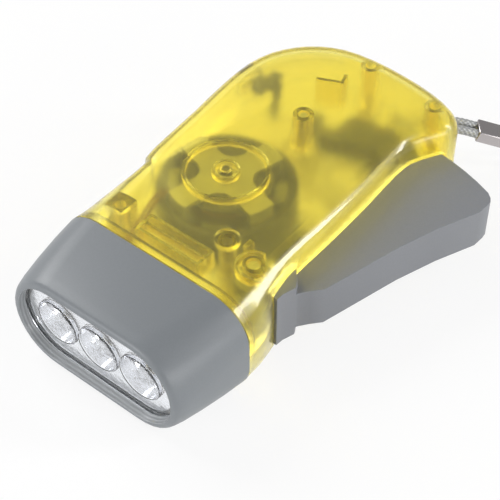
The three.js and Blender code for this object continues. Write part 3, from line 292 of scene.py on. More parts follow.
finishes = {
    "case": tintedPolystyrene(),
    # grey ABS: the lever is worn a little duller than the head, which has a soft sheen; the head's
    # grey is coloured a little darker than the lever's, as painted shade
    "grey": mouldedAbs("spark grained grey abs", "#838589", "#7B7D81", 0.5, gleam=0.3),
    "greyHead": mouldedAbs("fine grained grey abs in painted shade", "#7C8185", "#75797D", 0.4),
    # painted highlight: the turned lip inside the mouth is coloured paler than the head
    "lip": turnedAbs("turned grey abs with painted highlight", "#979A9D", "#B2B5B8", 0.8),
    # painted shade: the toothed arm is the lever's grey, coloured dark for the shade it lies in
    # under the yellow case
    "shadedArm": mouldedAbs("grey abs darkened for painted shade", "#4A4C46", "#383A35", 0.3),
    "black": mouldedAbs("dark moulded abs", "#22231F", "#1B1C19", 0.42),
    "nylon": milkyNylon(),
    "board": mouldedAbs("bare paper board", "#CFC7A9", "#BDB493", 0.6, grainSize=0.5, strength=0.2),
    "ferrite": mouldedAbs(
        "bonded ferrite", "#2B2B2F", "#232327", 0.55, grainSize=0.3, strength=0.3,
    ),
    "phosphor": mouldedAbs(
        "phosphor in silicone", "#F2C83A", "#E5B62C", 0.35, grainSize=0.2, strength=0.05,
    ),
    # plating over a wavy moulding breaks up what the cups mirror
    "chrome": brightMetal("vacuum plated chrome", "#F6F7FA", 0.13, grainSize=1.1, relief=0.8),
    "steel": brightMetal("bright drawn steel", "#B4B6B8", 0.3),
    # dull zinc: the upper cross stays pale under the case, and the lower one, deeper in, is a
    # darker copy of it: painted shade
    "claws": brightMetal("dull zinc plated steel", "#96989A", 0.5, spread=0.05, grainSize=0.3),
    "clawsShaded": brightMetal(
        "dull zinc plated steel in painted shade", "#77797B", 0.5, spread=0.05, grainSize=0.3,
    ),
    # painted shade: the dynamo shaft's steel is coloured dark for the shade it stands in inside the
    # case
    "shadedSteel": brightMetal("steel darkened for painted shade", "#4C4E50", 0.35),
    # painted reflection: the faint pink in the aluminium's colour
    "crimp": brightMetal("pressed aluminium", "#B9B4B4", 0.22),
    "copper": brightMetal("enamelled copper wire", "#6A3E20", 0.35),
    "leadWire": brightMetal("enamelled lead wire", "#5E4024", 0.4),
    # strong waves in the window blur the cups behind it
    "lens": castClear("cast acrylic window", "#FCFDFE", 1.49, relief=0.75),
    "led": castClear("cast clear epoxy", "#F8FAFC", 1.54, roughness=0.02),
}
print("materials made:", len(finishes))


# Working on one object at a time

weld = {"copy": 0.002, "spin": 0.001}  # millimetres between points that become one
flatUnder = 0.5  # degrees between faces that become one
edgeRound = {"segments": 2, "sharperThan": 40, "smoothUnder": 45}  # angles in degrees


def pickOnly(piece):
    bpy.ops.object.select_all(action="DESELECT")
    piece.select_set(True)
    bpy.context.view_layer.objects.active = piece


def setFinish(piece, finish):
    piece.data.materials.clear()
    piece.data.materials.append(finishes[finish])


def dressedCopy(node, name, finish, smoothAngle):
    # a free copy of a CAD node, with its flats joined up again and its rounds smooth
    pickOnly(cadNodes[node])
    cadNodes[node].hide_set(False)
    bpy.ops.object.duplicate()
    piece = bpy.context.object
    for key in list(piece.keys()):
        del piece[key]  # the frame's notes stay on the node itself
    piece.parent = None
    piece.name = name
    piece.data.name = name
    pickOnly(piece)
    bpy.ops.object.mode_set(mode="EDIT")
    bpy.ops.mesh.select_all(action="SELECT")
    bpy.ops.mesh.remove_doubles(threshold=weld["copy"] * mm)
    bpy.ops.mesh.customdata_custom_splitnormals_clear()
    bpy.ops.mesh.dissolve_limited(angle_limit=math.radians(flatUnder))
    bpy.ops.object.mode_set(mode="OBJECT")
    setFinish(piece, finish)
    bpy.ops.object.shade_smooth_by_angle(angle=math.radians(smoothAngle))
    return piece


def softenEdges(piece, width):
    # the small round that every moulded or stamped edge has
    pickOnly(piece)
    rounding = piece.modifiers.new("rounding", "BEVEL")
    rounding.width = width * mm
    rounding.segments = edgeRound["segments"]
    rounding.limit_method = "ANGLE"
    rounding.angle_limit = math.radians(edgeRound["sharperThan"])
    rounding.miter_outer = "MITER_ARC"
    bpy.ops.object.modifier_apply(modifier="rounding")
    bpy.ops.object.shade_smooth_by_angle(angle=math.radians(edgeRound["smoothUnder"]))


def standFor(piece, body, slot, *nodes):
    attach(piece, body)
    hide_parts(*nodes)


def settle(matrix, piece, smoothAngle):
    # the finished mesh goes to its place, and the object stays at the origin
    piece.data.transform(matrix)
    pickOnly(piece)
    bpy.ops.object.shade_smooth_by_angle(angle=math.radians(smoothAngle))
    return piece


def turnedPiece(name, profile, steps=40):
    # a closed shell, spun round Z from a profile of (radius, height) whose ends are on the axis
    bpy.ops.object.select_all(action="DESELECT")
    bpy.ops.mesh.primitive_plane_add(size=mm)
    piece = bpy.context.object
    piece.name = name
    bpy.ops.object.mode_set(mode="EDIT")
    bpy.ops.mesh.select_all(action="SELECT")
    bpy.ops.mesh.merge(type="CENTER")
    start = Vector((profile[0][0], 0, profile[0][1]))
    bpy.ops.transform.translate(value=start * mm)
    for (r0, z0), (r1, z1) in zip(profile, profile[1:]):
        step = Vector((r1 - r0, 0, z1 - z0)) * mm
        bpy.ops.mesh.extrude_vertices_move(TRANSFORM_OT_translate={"value": step})
    bpy.ops.mesh.select_all(action="SELECT")
    bpy.ops.mesh.spin(steps=steps, angle=2 * math.pi, center=(0, 0, 0), axis=(0, 0, 1))
    bpy.ops.mesh.select_all(action="SELECT")
    bpy.ops.mesh.remove_doubles(threshold=weld["spin"] * mm)
    bpy.ops.mesh.normals_make_consistent(inside=False)
    bpy.ops.object.mode_set(mode="OBJECT")
    return piece


def copyOf(piece, name):
    pickOnly(piece)
    bpy.ops.object.duplicate()
    bpy.context.object.name = name
    return bpy.context.object


def pickVerts(piece, test):
    # in edit mode: selects the vertices whose place, in millimetres, passes the test
    bpy.ops.mesh.select_mode(type="VERT")
    bpy.ops.mesh.select_all(action="DESELECT")
    mesh = bmesh.from_edit_mesh(piece.data)
    for vertex in mesh.verts:
        vertex.select = test(vertex.co / mm)
    mesh.select_flush_mode()
    bmesh.update_edit_mesh(piece.data)


# Wrist strap: one braided cord from the post in the tail, through the crimp, round the coiled
# loop and back. The route repeats the part's own.

strap = {
    "heading": 38.5,  # degrees from X, away from the tail
    "exit": (14.9, 52.0),
    "exitHeight": 11.2,
    "postAcross": -1.05,
    "postRadius": 1.0,
    "gap": 0.3,
    "cord": 2.3,
    "spread": 1.42,  # each strand's distance from the middle line
    # each strand from the post to the crimp, as distance along the heading and height
    "route": [(-4.4, 11.2), (0, 11.2), (5, 11.4), (10, 11.3), (13, 10.75), (15.9, 9.8)],
    "crimpDrop": 0.33,  # its fall for each millimetre along
    "crimpLength": 10.0,
    "crimpWidth": 5.2,
    "crimpHeight": 3.2,
    "crimpLip": 0.35,
    "crimpHollow": 1.6,
    "crimpRound": 0.35,
    "crimpRoundSteps": 3,
    "crimpSmooth": 30,
    "crimpShares": (0.2, 0.8),  # where the cord has its points inside the crimp
    "coilMiddle": 14.0,
    "coilGap": 0.6,
    "coilAhead": 26.5,
    "coilRounds": 2,
    "climb": 0.25,  # turns on each side of half way in which it climbs to the upper layer
    "turnSteps": 24,
    "neckSteps": 7,
    "neckCords": 3,  # cord diameters over which a neck leaves the crimp straight
    "lineSteps": 12,
    "yarns": 6,
    "yarnDepth": 0.19,
    "yarnShares": (0.55, 0.45),  # a yarn's height all along, and what it gains where it is on top
    "ringStep": 0.22,
    "sides": 42,
}


def onStrap(along, across, height):
    # a place by its distance from the exit along the heading, aside from it and over the floor
    heading = math.radians(strap["heading"])
    return Vector((
        strap["exit"][0] + along * math.cos(heading) - across * math.sin(heading),
        strap["exit"][1] + along * math.sin(heading) + across * math.cos(heading),
        height,
    ))


def onCrimp(distance, across):
    # a place on the crimp's slanting axis, or beyond it
    tilt = math.atan(strap["crimpDrop"])
    endAlong, endHeight = strap["route"][-1]
    return onStrap(
        endAlong + distance * math.cos(tilt), across, endHeight - distance * math.sin(tilt),
    )


def smoothStep(value, low, high):
    share = min(max((value - low) / (high - low), 0), 1)
    return share * share * (3 - 2 * share)


def strandPoints(side):
    beside = strap["postAcross"] + side * (strap["postRadius"] + strap["gap"] + strap["cord"] / 2)
    points = [onStrap(strap["route"][0][0], beside, strap["route"][0][1])]
    for along, height in strap["route"][1:]:
        points.append(onStrap(along, side * strap["spread"], height))
    return points


def coilPoints():
    # the loop in two layers: it spirals in on the floor, climbs and spirals out on top, and a
    # neck at each end leaves the crimp straight and bends to where it touches the outer round
    neckStart = strap["crimpLength"] + 2 * strap["gap"]
    low = strap["cord"] / 2 + strap["gap"] / 2
    step = strap["cord"] + strap["coilGap"]

    def rounds(reach):
        # the angle at which a neck touches a round of this radius, and the turns in the coil
        touch = 180 - math.degrees(math.acos(reach / strap["coilAhead"]))
        return touch, strap["coilRounds"] + 2 * touch / 360

    outer = strap["coilMiddle"] + step * rounds(strap["coilMiddle"])[1] / 4
    touch, total = rounds(outer)
    centreAlong = strap["route"][-1][0] + neckStart + strap["coilAhead"]
    count = round(total * strap["turnSteps"])
    turns = []
    for k in range(count + 1):
        turn = total * k / count
        radius = outer - step * min(turn, total - turn)
        angle = math.radians(360 * turn - touch)
        climbed = smoothStep(turn, total / 2 - strap["climb"], total / 2 + strap["climb"])
        along, across = centreAlong + radius * math.cos(angle), radius * math.sin(angle)
        turns.append(onStrap(along, across, low + step * climbed))

    def neck(side, end, following):
        first = onCrimp(neckStart, side * strap["spread"])
        straight = onCrimp(neckStart + strap["cord"], side * strap["spread"])
        lead = onCrimp(neckStart + strap["neckCords"] * strap["cord"], side * strap["spread"])
        back = end + (end - following).normalized() * strap["coilAhead"] / 3
        bend = []
        for k in range(strap["neckSteps"]):
            t = k / strap["neckSteps"]
            bend.append(
                straight * (1 - t) ** 3 + lead * 3 * t * (1 - t) ** 2
                + back * 3 * t * t * (1 - t) + end * t ** 3
            )
        return [first] + bend

    into = neck(-1, turns[0], turns[1])
    out = neck(1, turns[-1], turns[-2])
    return into + turns + out[::-1]


def smoothLine(points, step):
    # a centripetal Catmull-Rom line through the points, sampled at an even real step
    line = []
    padded = [points[0] * 2 - points[1]] + points + [points[-1] * 2 - points[-2]]
    for i in range(1, len(padded) - 2):
        p0, p1, p2, p3 = padded[i - 1:i + 3]
        t1 = (p1 - p0).length ** 0.5
        t2 = t1 + (p2 - p1).length ** 0.5
        t3 = t2 + (p3 - p2).length ** 0.5
        for k in range(strap["lineSteps"]):
            t = t1 + (t2 - t1) * k / strap["lineSteps"]
            a1 = p0 * ((t1 - t) / t1) + p1 * (t / t1)
            a2 = p1 * ((t2 - t) / (t2 - t1)) + p2 * ((t - t1) / (t2 - t1))
            a3 = p2 * ((t3 - t) / (t3 - t2)) + p3 * ((t - t2) / (t3 - t2))
            b1 = a1 * ((t2 - t) / t2) + a2 * (t / t2)
            b2 = a2 * ((t3 - t) / (t3 - t1)) + a3 * ((t - t1) / (t3 - t1))
            line.append(b1 * ((t2 - t) / (t2 - t1)) + b2 * ((t - t1) / (t2 - t1)))
    line.append(points[-1])
    lengths = [0.0]
    for a, b in zip(line, line[1:]):
        lengths.append(lengths[-1] + (b - a).length)
    count = round(lengths[-1] / step)
    even = []
    at = 0
    for k in range(count + 1):
        want = lengths[-1] * k / count
        while at < len(lengths) - 2 and lengths[at + 1] < want:
            at += 1
        share = (want - lengths[at]) / max(lengths[at + 1] - lengths[at], 1e-9)
        even.append(line[at].lerp(line[at + 1], min(share, 1)))
    return even, lengths[-1]


def braidHeight(around, along):
    # a plain braid: the yarns of one hand pass over those of the other in turn
    first = strap["yarns"] * around + along
    second = strap["yarns"] * around - along
    a = first - math.floor(first) - 0.5
    b = second - math.floor(second) - 0.5
    over = (math.floor(first) + math.floor(second)) % 2 == 0
    across, down = (a, b) if over else (b, a)
    flat, dip = strap["yarnShares"]
    return math.cos(math.pi * across) * (flat + dip * math.cos(math.pi * down))


def braidedTube(name, points):
    line, length = smoothLine(points, strap["ringStep"])
    sides = strap["sides"]
    radius = strap["cord"] / 2
    pitch = math.pi * strap["cord"] / strap["yarns"]
    mesh = bmesh.new()
    follow = mesh.loops.layers.uv.new("along")
    side = None
    rings = []
    for i, point in enumerate(line):
        tangent = (line[min(i + 1, len(line) - 1)] - line[max(i - 1, 0)]).normalized()
        if side is None:
            side = Vector((0, 0, 1)).cross(tangent).normalized()
        side = (side - tangent * side.dot(tangent)).normalized()
        up = tangent.cross(side)
        along = i * strap["ringStep"] / pitch
        ring = []
        for k in range(sides):
            angle = 2 * math.pi * k / sides
            out = radius - strap["yarnDepth"] * (1 - braidHeight(k / sides, along))
            place = point + (side * math.cos(angle) + up * math.sin(angle)) * out
            ring.append(mesh.verts.new(place * mm))
        rings.append(ring)
    for i in range(len(rings) - 1):
        for k in range(sides):
            n = (k + 1) % sides
            face = mesh.faces.new((rings[i][k], rings[i][n], rings[i + 1][n], rings[i + 1][k]))
            corners = ((k, i), (k + 1, i), (k + 1, i + 1), (k, i + 1))
            for loop, (u, v) in zip(face.loops, corners):
                loop[follow].uv = (u / sides, v * strap["ringStep"] / pitch / strap["yarns"])
            face.smooth = True
    mesh.faces.new(rings[0][::-1])
    mesh.faces.new(rings[-1])
    data = bpy.data.meshes.new(name)
    mesh.to_mesh(data)
    mesh.free()
    piece = bpy.data.objects.new(name, data)
    scene.collection.objects.link(piece)
    return piece, line, length


# Metallised polyester yarn, braided round a soft core: silver, with painted shade darkening the
# valleys between the yarns.
def silverBraid():
    material, tree = newMaterial("metallised polyester braid")
    along = addNode(tree, "ShaderNodeUVMap", {"uv_map": "along"})
    fibres = addNode(
        tree, "ShaderNodeTexNoise",
        inputs={"Scale": 260.0, "Detail": 2.0},
        links={"Vector": along.outputs["UV"]},
    )
    # painted shade: the hollow places, by their pointiness, take the dark tone
    shadeGeometry = addNode(tree, "ShaderNodeNewGeometry")
    valleyShade = addNode(
        tree, "ShaderNodeMapRange",
        inputs={"From Min": 0.42, "From Max": 0.56, "To Min": 0.0, "To Max": 1.0},
        links={"Value": shadeGeometry.outputs["Pointiness"]},
    )
    tone = addNode(
        tree, "ShaderNodeMix", {"data_type": "RGBA"},
        {6: linear("#484A4C"), 7: linear("#C4C6C8")},
        {0: valleyShade.outputs["Result"]},
    )
    bump = addNode(
        tree, "ShaderNodeBump",
        inputs={"Strength": 0.3, "Distance": 0.03 * mm},
        links={"Height": fibres.outputs["Fac"]},
    )
    shader = addNode(
        tree, "ShaderNodeBsdfPrincipled",
        inputs={"Roughness": 0.42, "Metallic": 0.35, "Sheen Weight": 0.2},
        links={"Base Color": tone.outputs[2], "Normal": bump.outputs["Normal"]},
    )
    finishMaterial(tree, shader.outputs["BSDF"])
    return material


finishes["braid"] = silverBraid()


def makeStrap():
    near, far = (strap["crimpLength"] * share for share in strap["crimpShares"])
    there = [onCrimp(distance, -strap["spread"]) for distance in (near, far)]
    back = [onCrimp(distance, strap["spread"]) for distance in (far, near)]
    points = strandPoints(-1) + there + coilPoints() + back + strandPoints(1)[::-1]
    cord, line, length = braidedTube("strap_cord", points)
    setFinish(cord, "braid")
    return cord, line, length


endOn = 0.9  # a face whose normal has more than this along X is one of the crimp's ends


def makeCrimp():
    # a strip of metal folded round both strands: a box with flat faces, crisp corners and ends
    # sunk in behind a lip
    bpy.ops.mesh.primitive_cube_add(size=1)
    crimp = bpy.context.object
    crimp.name = "strap_crimp_box"
    crimp.scale = Vector((strap["crimpLength"], strap["crimpWidth"], strap["crimpHeight"])) * mm
    bpy.ops.object.transform_apply(location=False, rotation=False, scale=True)
    bpy.ops.object.mode_set(mode="EDIT")
    bpy.ops.mesh.select_all(action="DESELECT")
    mesh = bmesh.from_edit_mesh(crimp.data)
    for face in mesh.faces:
        face.select = abs(face.normal.x) > endOn
    bmesh.update_edit_mesh(crimp.data)
    bpy.ops.mesh.inset(thickness=strap["crimpLip"] * mm)
    sink = {"value": -strap["crimpHollow"] * mm}
    bpy.ops.mesh.extrude_region_shrink_fatten(TRANSFORM_OT_shrink_fatten=sink)
    bpy.ops.object.mode_set(mode="OBJECT")
    corners = crimp.modifiers.new("corners", "BEVEL")
    corners.width = strap["crimpRound"] * mm
    corners.segments = strap["crimpRoundSteps"]
    corners.limit_method = "ANGLE"
    bpy.ops.object.modifier_apply(modifier="corners")
    tilt = Matrix.Rotation(math.atan(strap["crimpDrop"]), 4, "Y")
    turn = Matrix.Rotation(math.radians(strap["heading"]), 4, "Z")
    middle = onCrimp(strap["gap"] + strap["crimpLength"] / 2, 0) * mm
    crimp.data.transform(Matrix.Translation(middle) @ turn @ tilt)
    bpy.ops.object.shade_smooth_by_angle(angle=math.radians(strap["crimpSmooth"]))
    setFinish(crimp, "crimp")
    return crimp


strapCord, strapLine, strapLength = makeStrap()
crimpBox = makeCrimp()
standFor(strapCord, "casing", "cord", "strap_strand_left", "strap_strand_right", "strap_coil")
standFor(crimpBox, "casing", "crimp", "strap_crimp")
print("strap made, cord length", round(strapLength), "mm")


# Lamp head: a clear window with three low domes, over a plated reflector with three cups

lamp = {
    # the middle of the head, and from lamp to lamp
    "across": 6.4,
    "height": 13.1,
    "pitch": 11.7,
    "cornerShare": 0.98,
    "cornerSteps": 12,
    "ringSides": 56,
    # the window's raised face fills the mouth, and its flange sits behind the lip; half sizes
    "face": (21.1, 9.9),
    "flange": (21.9, 10.7),
    "windowFront": 49.3,
    "windowStep": 1.9,
    "windowFlange": 0.8,
    "windowHollow": (20.6, 9.4),
    "windowSkin": 1.1,
    "domeRadius": 5.65,
    "domeRise": 0.3,
    "domeShares": (0.88, 0.76, 0.6, 0.42, 0.22, 0.05),
    # the small ridge round each dome, as radius and height
    "ridge": [(5.58, 0.05), (5.46, 0.08), (5.34, 0.05), (5.26, 0.01)],
    "windowSmooth": 8,  # degrees, so that the ridges stay crisp
    "mirror": (20.3, 9.1),
    "reflectorFront": 47.9,
    "reflectorWall": 0.6,
    "skirt": 9.9,
    "cupRadius": 5.7,
    "cupNeck": 2.85,
    "cupDepth": 7.9,
    "cupShares": (0.985, 0.94, 0.86, 0.75, 0.62, 0.48, 0.34, 0.2, 0.08, 0.0),
    "ledBase": 37.6,
    "ledRadius": 2.5,
    "ledLength": 8.0,
    "ledDomeSteps": 10,
    "ledFlange": (2.9, 1.0),
    "ledFlangeSlope": 0.05,
    # the metal cup and the chip inside each lamp, as radius and height
    "seat": [
        (0, 0.9), (0.55, 0.9), (0.55, 3.6), (1.15, 4.0), (1.2, 4.6), (1.05, 4.62), (0.7, 4.15),
        (0, 4.15),
    ],
    "chip": [(0, 4.18), (0.66, 4.18), (0.85, 4.4), (0.6, 4.55), (0, 4.6)],
    "smallSides": 24,
    "smooth": 40,  # degrees under which an edge is smooth
}
nearPlate = 0.001  # millimetres off the plate at which a point still counts as on it
nearRing = 0.01  # the same for a ring
closedUnder = 0.5  # a last ring of a smaller radius is drawn together


def inHead(ahead):
    # local X across, local Y up and local Z along the beam
    place = Vector((lamp["across"], -ahead, lamp["height"])) * mm
    return Matrix.Translation(place) @ Matrix.Rotation(math.radians(90), 4, "X")


def lampPlaces():
    return [Vector((side * lamp["pitch"], 0, 0)) for side in (-1, 0, 1)]


def roundedFace(halfSizes, corner):
    # in edit mode: a face with round corners at height 0
    bpy.ops.mesh.select_all(action="DESELECT")
    bpy.ops.mesh.primitive_plane_add(size=2 * mm)
    bpy.ops.transform.resize(value=(*halfSizes, 1), center_override=(0, 0, 0))
    bpy.ops.mesh.bevel(affect="VERTICES", offset=corner * mm, segments=lamp["cornerSteps"])


def holedPlate(name, halfSizes, ringRadius):
    # a rounded plate with a round opening at each lamp, left in edit mode
    bpy.ops.object.select_all(action="DESELECT")
    bpy.ops.mesh.primitive_plane_add(size=2 * mm)
    plate = bpy.context.object
    plate.name = name
    bpy.ops.object.mode_set(mode="EDIT")
    bpy.ops.mesh.select_all(action="SELECT")
    bpy.ops.mesh.delete(type="VERT")
    roundedFace(halfSizes, halfSizes[1] * lamp["cornerShare"])
    bpy.ops.mesh.select_all(action="SELECT")
    bpy.ops.mesh.delete(type="ONLY_FACE")
    for place in lampPlaces():
        bpy.ops.mesh.primitive_circle_add(
            vertices=lamp["ringSides"], radius=ringRadius * mm, location=place * mm,
        )
    bpy.ops.mesh.select_all(action="SELECT")
    bpy.ops.mesh.fill(use_beauty=True)
    return plate


def pullRings(plate, ringRadius, stages):
    # each opening's edge goes down or up through the stages of (radius, height)
    for place in lampPlaces():
        pickVerts(plate, lambda co: (
            abs((co - place).length - ringRadius) < nearRing and abs(co.z) < nearPlate
        ))
        radius, height = ringRadius, 0.0
        for nextRadius, nextHeight in stages:
            rise = (0, 0, (nextHeight - height) * mm)
            bpy.ops.mesh.extrude_region_move(TRANSFORM_OT_translate={"value": rise})
            share = nextRadius / radius
            middle = (place + Vector((0, 0, nextHeight))) * mm
            bpy.ops.transform.resize(value=(share, share, 1), center_override=middle)
            radius, height = nextRadius, nextHeight
        if radius < closedUnder:
            bpy.ops.mesh.merge(type="CENTER")


def pickRim(plate):
    # the plate's outer edge
    reach = max(lamp["domeRadius"], lamp["cupRadius"]) + 2 * nearRing
    pickVerts(plate, lambda co: (
        abs(co.z) < nearPlate and all((co - place).length > reach for place in lampPlaces())
    ))


def pushRim(stages, sizes):
    # the selected outline goes down through the stages of (half sizes, height)
    height = 0.0
    for nextSizes, nextHeight in stages:
        rise = (0, 0, (nextHeight - height) * mm)
        bpy.ops.mesh.extrude_region_move(TRANSFORM_OT_translate={"value": rise})
        share = (nextSizes[0] / sizes[0], nextSizes[1] / sizes[1], 1)
        bpy.ops.transform.resize(value=share, center_override=(0, 0, nextHeight * mm))
        height, sizes = nextHeight, nextSizes


def makeWindow():
    plate = holedPlate("lens_window", lamp["face"], lamp["domeRadius"])
    dome = [
        (lamp["domeRadius"] * share, lamp["domeRise"] * (1 - share * share))
        for share in lamp["domeShares"]
    ]
    pullRings(plate, lamp["domeRadius"], lamp["ridge"] + dome)
    pickRim(plate)
    step, foot = -lamp["windowStep"], -lamp["windowStep"] - lamp["windowFlange"]
    hollow = lamp["windowHollow"]
    pushRim([
        (lamp["face"], step), (lamp["flange"], step), (lamp["flange"], foot), (hollow, foot),
        (hollow, -lamp["windowSkin"]),
    ], lamp["face"])
    bpy.ops.mesh.edge_face_add()
    bpy.ops.mesh.select_all(action="SELECT")
    bpy.ops.mesh.normals_make_consistent(inside=False)
    bpy.ops.object.mode_set(mode="OBJECT")
    setFinish(plate, "lens")
    return settle(inHead(lamp["windowFront"]), plate, lamp["windowSmooth"])


def makeReflector():
    sheet = holedPlate("reflector_shell", lamp["mirror"], lamp["cupRadius"])
    cupSquare, neckSquare = lamp["cupRadius"] ** 2, lamp["cupNeck"] ** 2
    cup = [
        (math.sqrt(neckSquare + (cupSquare - neckSquare) * share), -lamp["cupDepth"] * (1 - share))
        for share in lamp["cupShares"]
    ]
    pullRings(sheet, lamp["cupRadius"], cup)
    pickRim(sheet)
    pushRim([(lamp["mirror"], -lamp["skirt"])], lamp["mirror"])
    bpy.ops.mesh.select_all(action="SELECT")
    bpy.ops.mesh.normals_make_consistent(inside=False)
    # the wall grows behind the faces, so they look out of the head
    mesh = bmesh.from_edit_mesh(sheet.data)
    if sum(face.normal.z * face.calc_area() for face in mesh.faces) < 0:
        bpy.ops.mesh.flip_normals()
    bpy.ops.object.mode_set(mode="OBJECT")
    wall = sheet.modifiers.new("wall", "SOLIDIFY")
    wall.thickness = lamp["reflectorWall"] * mm
    wall.offset = -1
    pickOnly(sheet)
    bpy.ops.object.modifier_apply(modifier="wall")
    setFinish(sheet, "chrome")
    return settle(inHead(lamp["reflectorFront"]), sheet, lamp["smooth"])


def makeLeds():
    radius, length = lamp["ledRadius"], lamp["ledLength"]
    flange, top = lamp["ledFlange"]
    profile = [
        (0, 0), (flange, 0), (flange, top), (radius, top + lamp["ledFlangeSlope"]),
        (radius, length - radius),
    ]
    for k in range(1, lamp["ledDomeSteps"]):
        angle = math.radians(90 * k / lamp["ledDomeSteps"])
        profile.append((radius * math.cos(angle), length - radius + radius * math.sin(angle)))
    body = turnedPiece("body_source", profile + [(0, length)])
    setFinish(body, "led")
    seat = turnedPiece("seat_source", lamp["seat"], lamp["smallSides"])
    setFinish(seat, "steel")
    chip = turnedPiece("chip_source", lamp["chip"], lamp["smallSides"])
    setFinish(chip, "phosphor")
    for side, place in zip(("left", "middle", "right"), lampPlaces()):
        for kind, source in (("body", body), ("seat", seat), ("chip", chip)):
            piece = copyOf(source, "led_" + kind + "_" + side)
            toLamp = inHead(lamp["ledBase"]) @ Matrix.Translation(place * mm)
            settle(toLamp, piece, lamp["smooth"])
            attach(piece, "casing")
            if kind == "body":
                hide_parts("led_" + side)
    for source in (body, seat, chip):
        bpy.data.objects.remove(source)


standFor(makeWindow(), "casing", "clear", "lens")
standFor(makeReflector(), "casing", "mirror", "reflector")
makeLeds()
print("lamp head made")


# Case screws: pan heads with a cross recess, and a coarse thread for plastic

screw = {
    "places": [(3.5, 49.6), (23.6, 47.0), (13.8, -16.1), (-11.0, -22.4)],
    "headRadius": 2.2,
    "headHeight": 1.6,
    # the head's round, as shares of its radius and heights over its foot
    "headRound": [(0.7, 0.0), (0.86, 0.14), (0.96, 0.45), (1.0, 0.9)],
    "foot": 1.1,
    "radius": 0.98,
    "threadDepth": 0.26,
    "threadPitch": 1.0,
    "threadFlank": 1.5,  # at 1 its section is a plain V, and above it the root is flat
    "threadFrom": 0.3,  # from the head to the thread's start
    "threadEnd": 1.2,  # from its last ring to the tip
    "pitchRings": 8,  # rings of points to each turn of the thread
    "length": 14.0,
    "tip": 0.5,
    "tipShare": 0.6,
    "steps": 26,
    "recess": (2.3, 0.5, 1.0),  # across, wide and deep
    "turn": 37,  # degrees from one screw's cross to the next
    "smooth": 40,  # degrees under which an edge is smooth
}


def makeScrew():
    foot, radius, headRadius = screw["foot"], screw["radius"], screw["headRadius"]
    headTop = foot + screw["headHeight"]
    tip = headTop + screw["length"]
    profile = [(0, foot)]
    profile += [(headRadius * share, foot + height) for share, height in screw["headRound"]]
    profile += [(headRadius, headTop), (radius, headTop)]
    rise = screw["threadPitch"] / screw["pitchRings"]
    rings = round((tip - screw["threadEnd"] - headTop) / rise)
    profile += [(radius, headTop + rise * k) for k in range(1, rings + 1)]
    profile += [(radius * screw["tipShare"], tip - screw["tip"]), (0, tip)]
    piece = turnedPiece("screw_source", profile, screw["steps"])
    # the thread winds round the shank, deepest half a turn from its crest
    for vertex in piece.data.vertices:
        place = vertex.co / mm
        if place.z > headTop + screw["threadFrom"] and abs(place.xy.length - radius) < 2 * nearRing:
            turn = math.atan2(place.y, place.x) / (2 * math.pi) - place.z / screw["threadPitch"]
            flank = 2 * abs(turn - math.floor(turn) - 0.5) * screw["threadFlank"]
            vertex.co.xy *= (radius - screw["threadDepth"] * min(1, flank)) / radius
    across, wide, deep = screw["recess"]
    for length, width in ((across, wide), (wide, across)):
        bpy.ops.mesh.primitive_cube_add(size=mm, location=(0, 0, foot * mm))
        cutter = bpy.context.object
        cutter.scale = (length, width, 2 * deep)
        pickOnly(piece)
        cross = piece.modifiers.new("cross", "BOOLEAN")
        cross.object = cutter
        cross.solver = "EXACT"
        bpy.ops.object.modifier_apply(modifier="cross")
        bpy.data.objects.remove(cutter)
    setFinish(piece, "steel")
    return piece


def makeScrews():
    source = makeScrew()
    for number, (x, y) in enumerate(screw["places"], 1):
        piece = copyOf(source, "case_screw_cross_" + str(number))
        turn = Matrix.Rotation(math.radians(screw["turn"] * number), 4, "Z")
        settle(Matrix.Translation((x * mm, y * mm, 0)) @ turn, piece, screw["smooth"])
        standFor(piece, "casing", "steel", "case_screw_" + str(number))
    bpy.data.objects.remove(source)


makeScrews()
print("screws made")


# Pieces that keep the CAD's shape, with their rounds smoothed: the copy's name, its finish and
# the degrees under which an edge is smooth

dressed = {
    "upper_case": ("upper_shell", "case", 32),
    "lower_case": ("lower_shell", "case", 32),
    "head_bezel": ("bezel_moulding", "greyHead", 35),
    "led_board": ("board_blank", "board", 30),
    "rectifier": ("rectifier_body", "black", 30),
    "stator_upper_plate": ("upper_claws", "claws", 30),
    "stator_lower_plate": ("lower_claws", "clawsShaded", 30),
    "coil_bobbin": ("bobbin_spool", "black", 30),
    "coil_winding": ("winding_copper", "copper", 30),
    "coil_lead_left": ("lead_wire_left", "leadWire", 60),
    "coil_lead_right": ("lead_wire_right", "leadWire", 60),
    "dynamo_shaft": ("shaft_pin", "shadedSteel", 40),
    "gear_axle": ("axle_pin", "steel", 40),
    "lever_pin": ("hinge_pin", "steel", 40),
    "return_spring": ("spring_wire", "steel", 75),
    "lever": ("lever_moulding", "grey", 30),
    "drive_gear": ("drive_wheel", "nylon", 30),
    "clutch_pinion": ("clutch_wheel", "nylon", 30),
    "flywheel": ("flywheel_cup", "black", 30),
    "ring_magnet": ("magnet_band", "ferrite", 30),
    "lock_slider": ("slider_moulding", "black", 30),
}
# the round on each edge, in millimetres
softened = {"lever": 0.28, "lock_slider": 0.16, "rectifier": 0.12, "led_board": 0.12}
mouth = {
    "joint": 30.8,
    "length": 20.2,
    "halfWidth": 24.0,
    "taller": 0.05,  # the share by which the rim stands taller
    "droop": 1.1,
    "swell": 1.5,  # the power with which both grow towards the rim and the left end
    "lipStart": 48.3,
    "lipFacing": 0.15,  # how far a face turns to the middle of the mouth to count as its inside
}
# the toothed arm that takes the painted shade, by degrees about the lever's pin, distance from it
# and height
armShadeArea = {"pin": (22.9, -18.5), "from": 84, "beyond": 40, "low": 8.9, "high": 14.3}


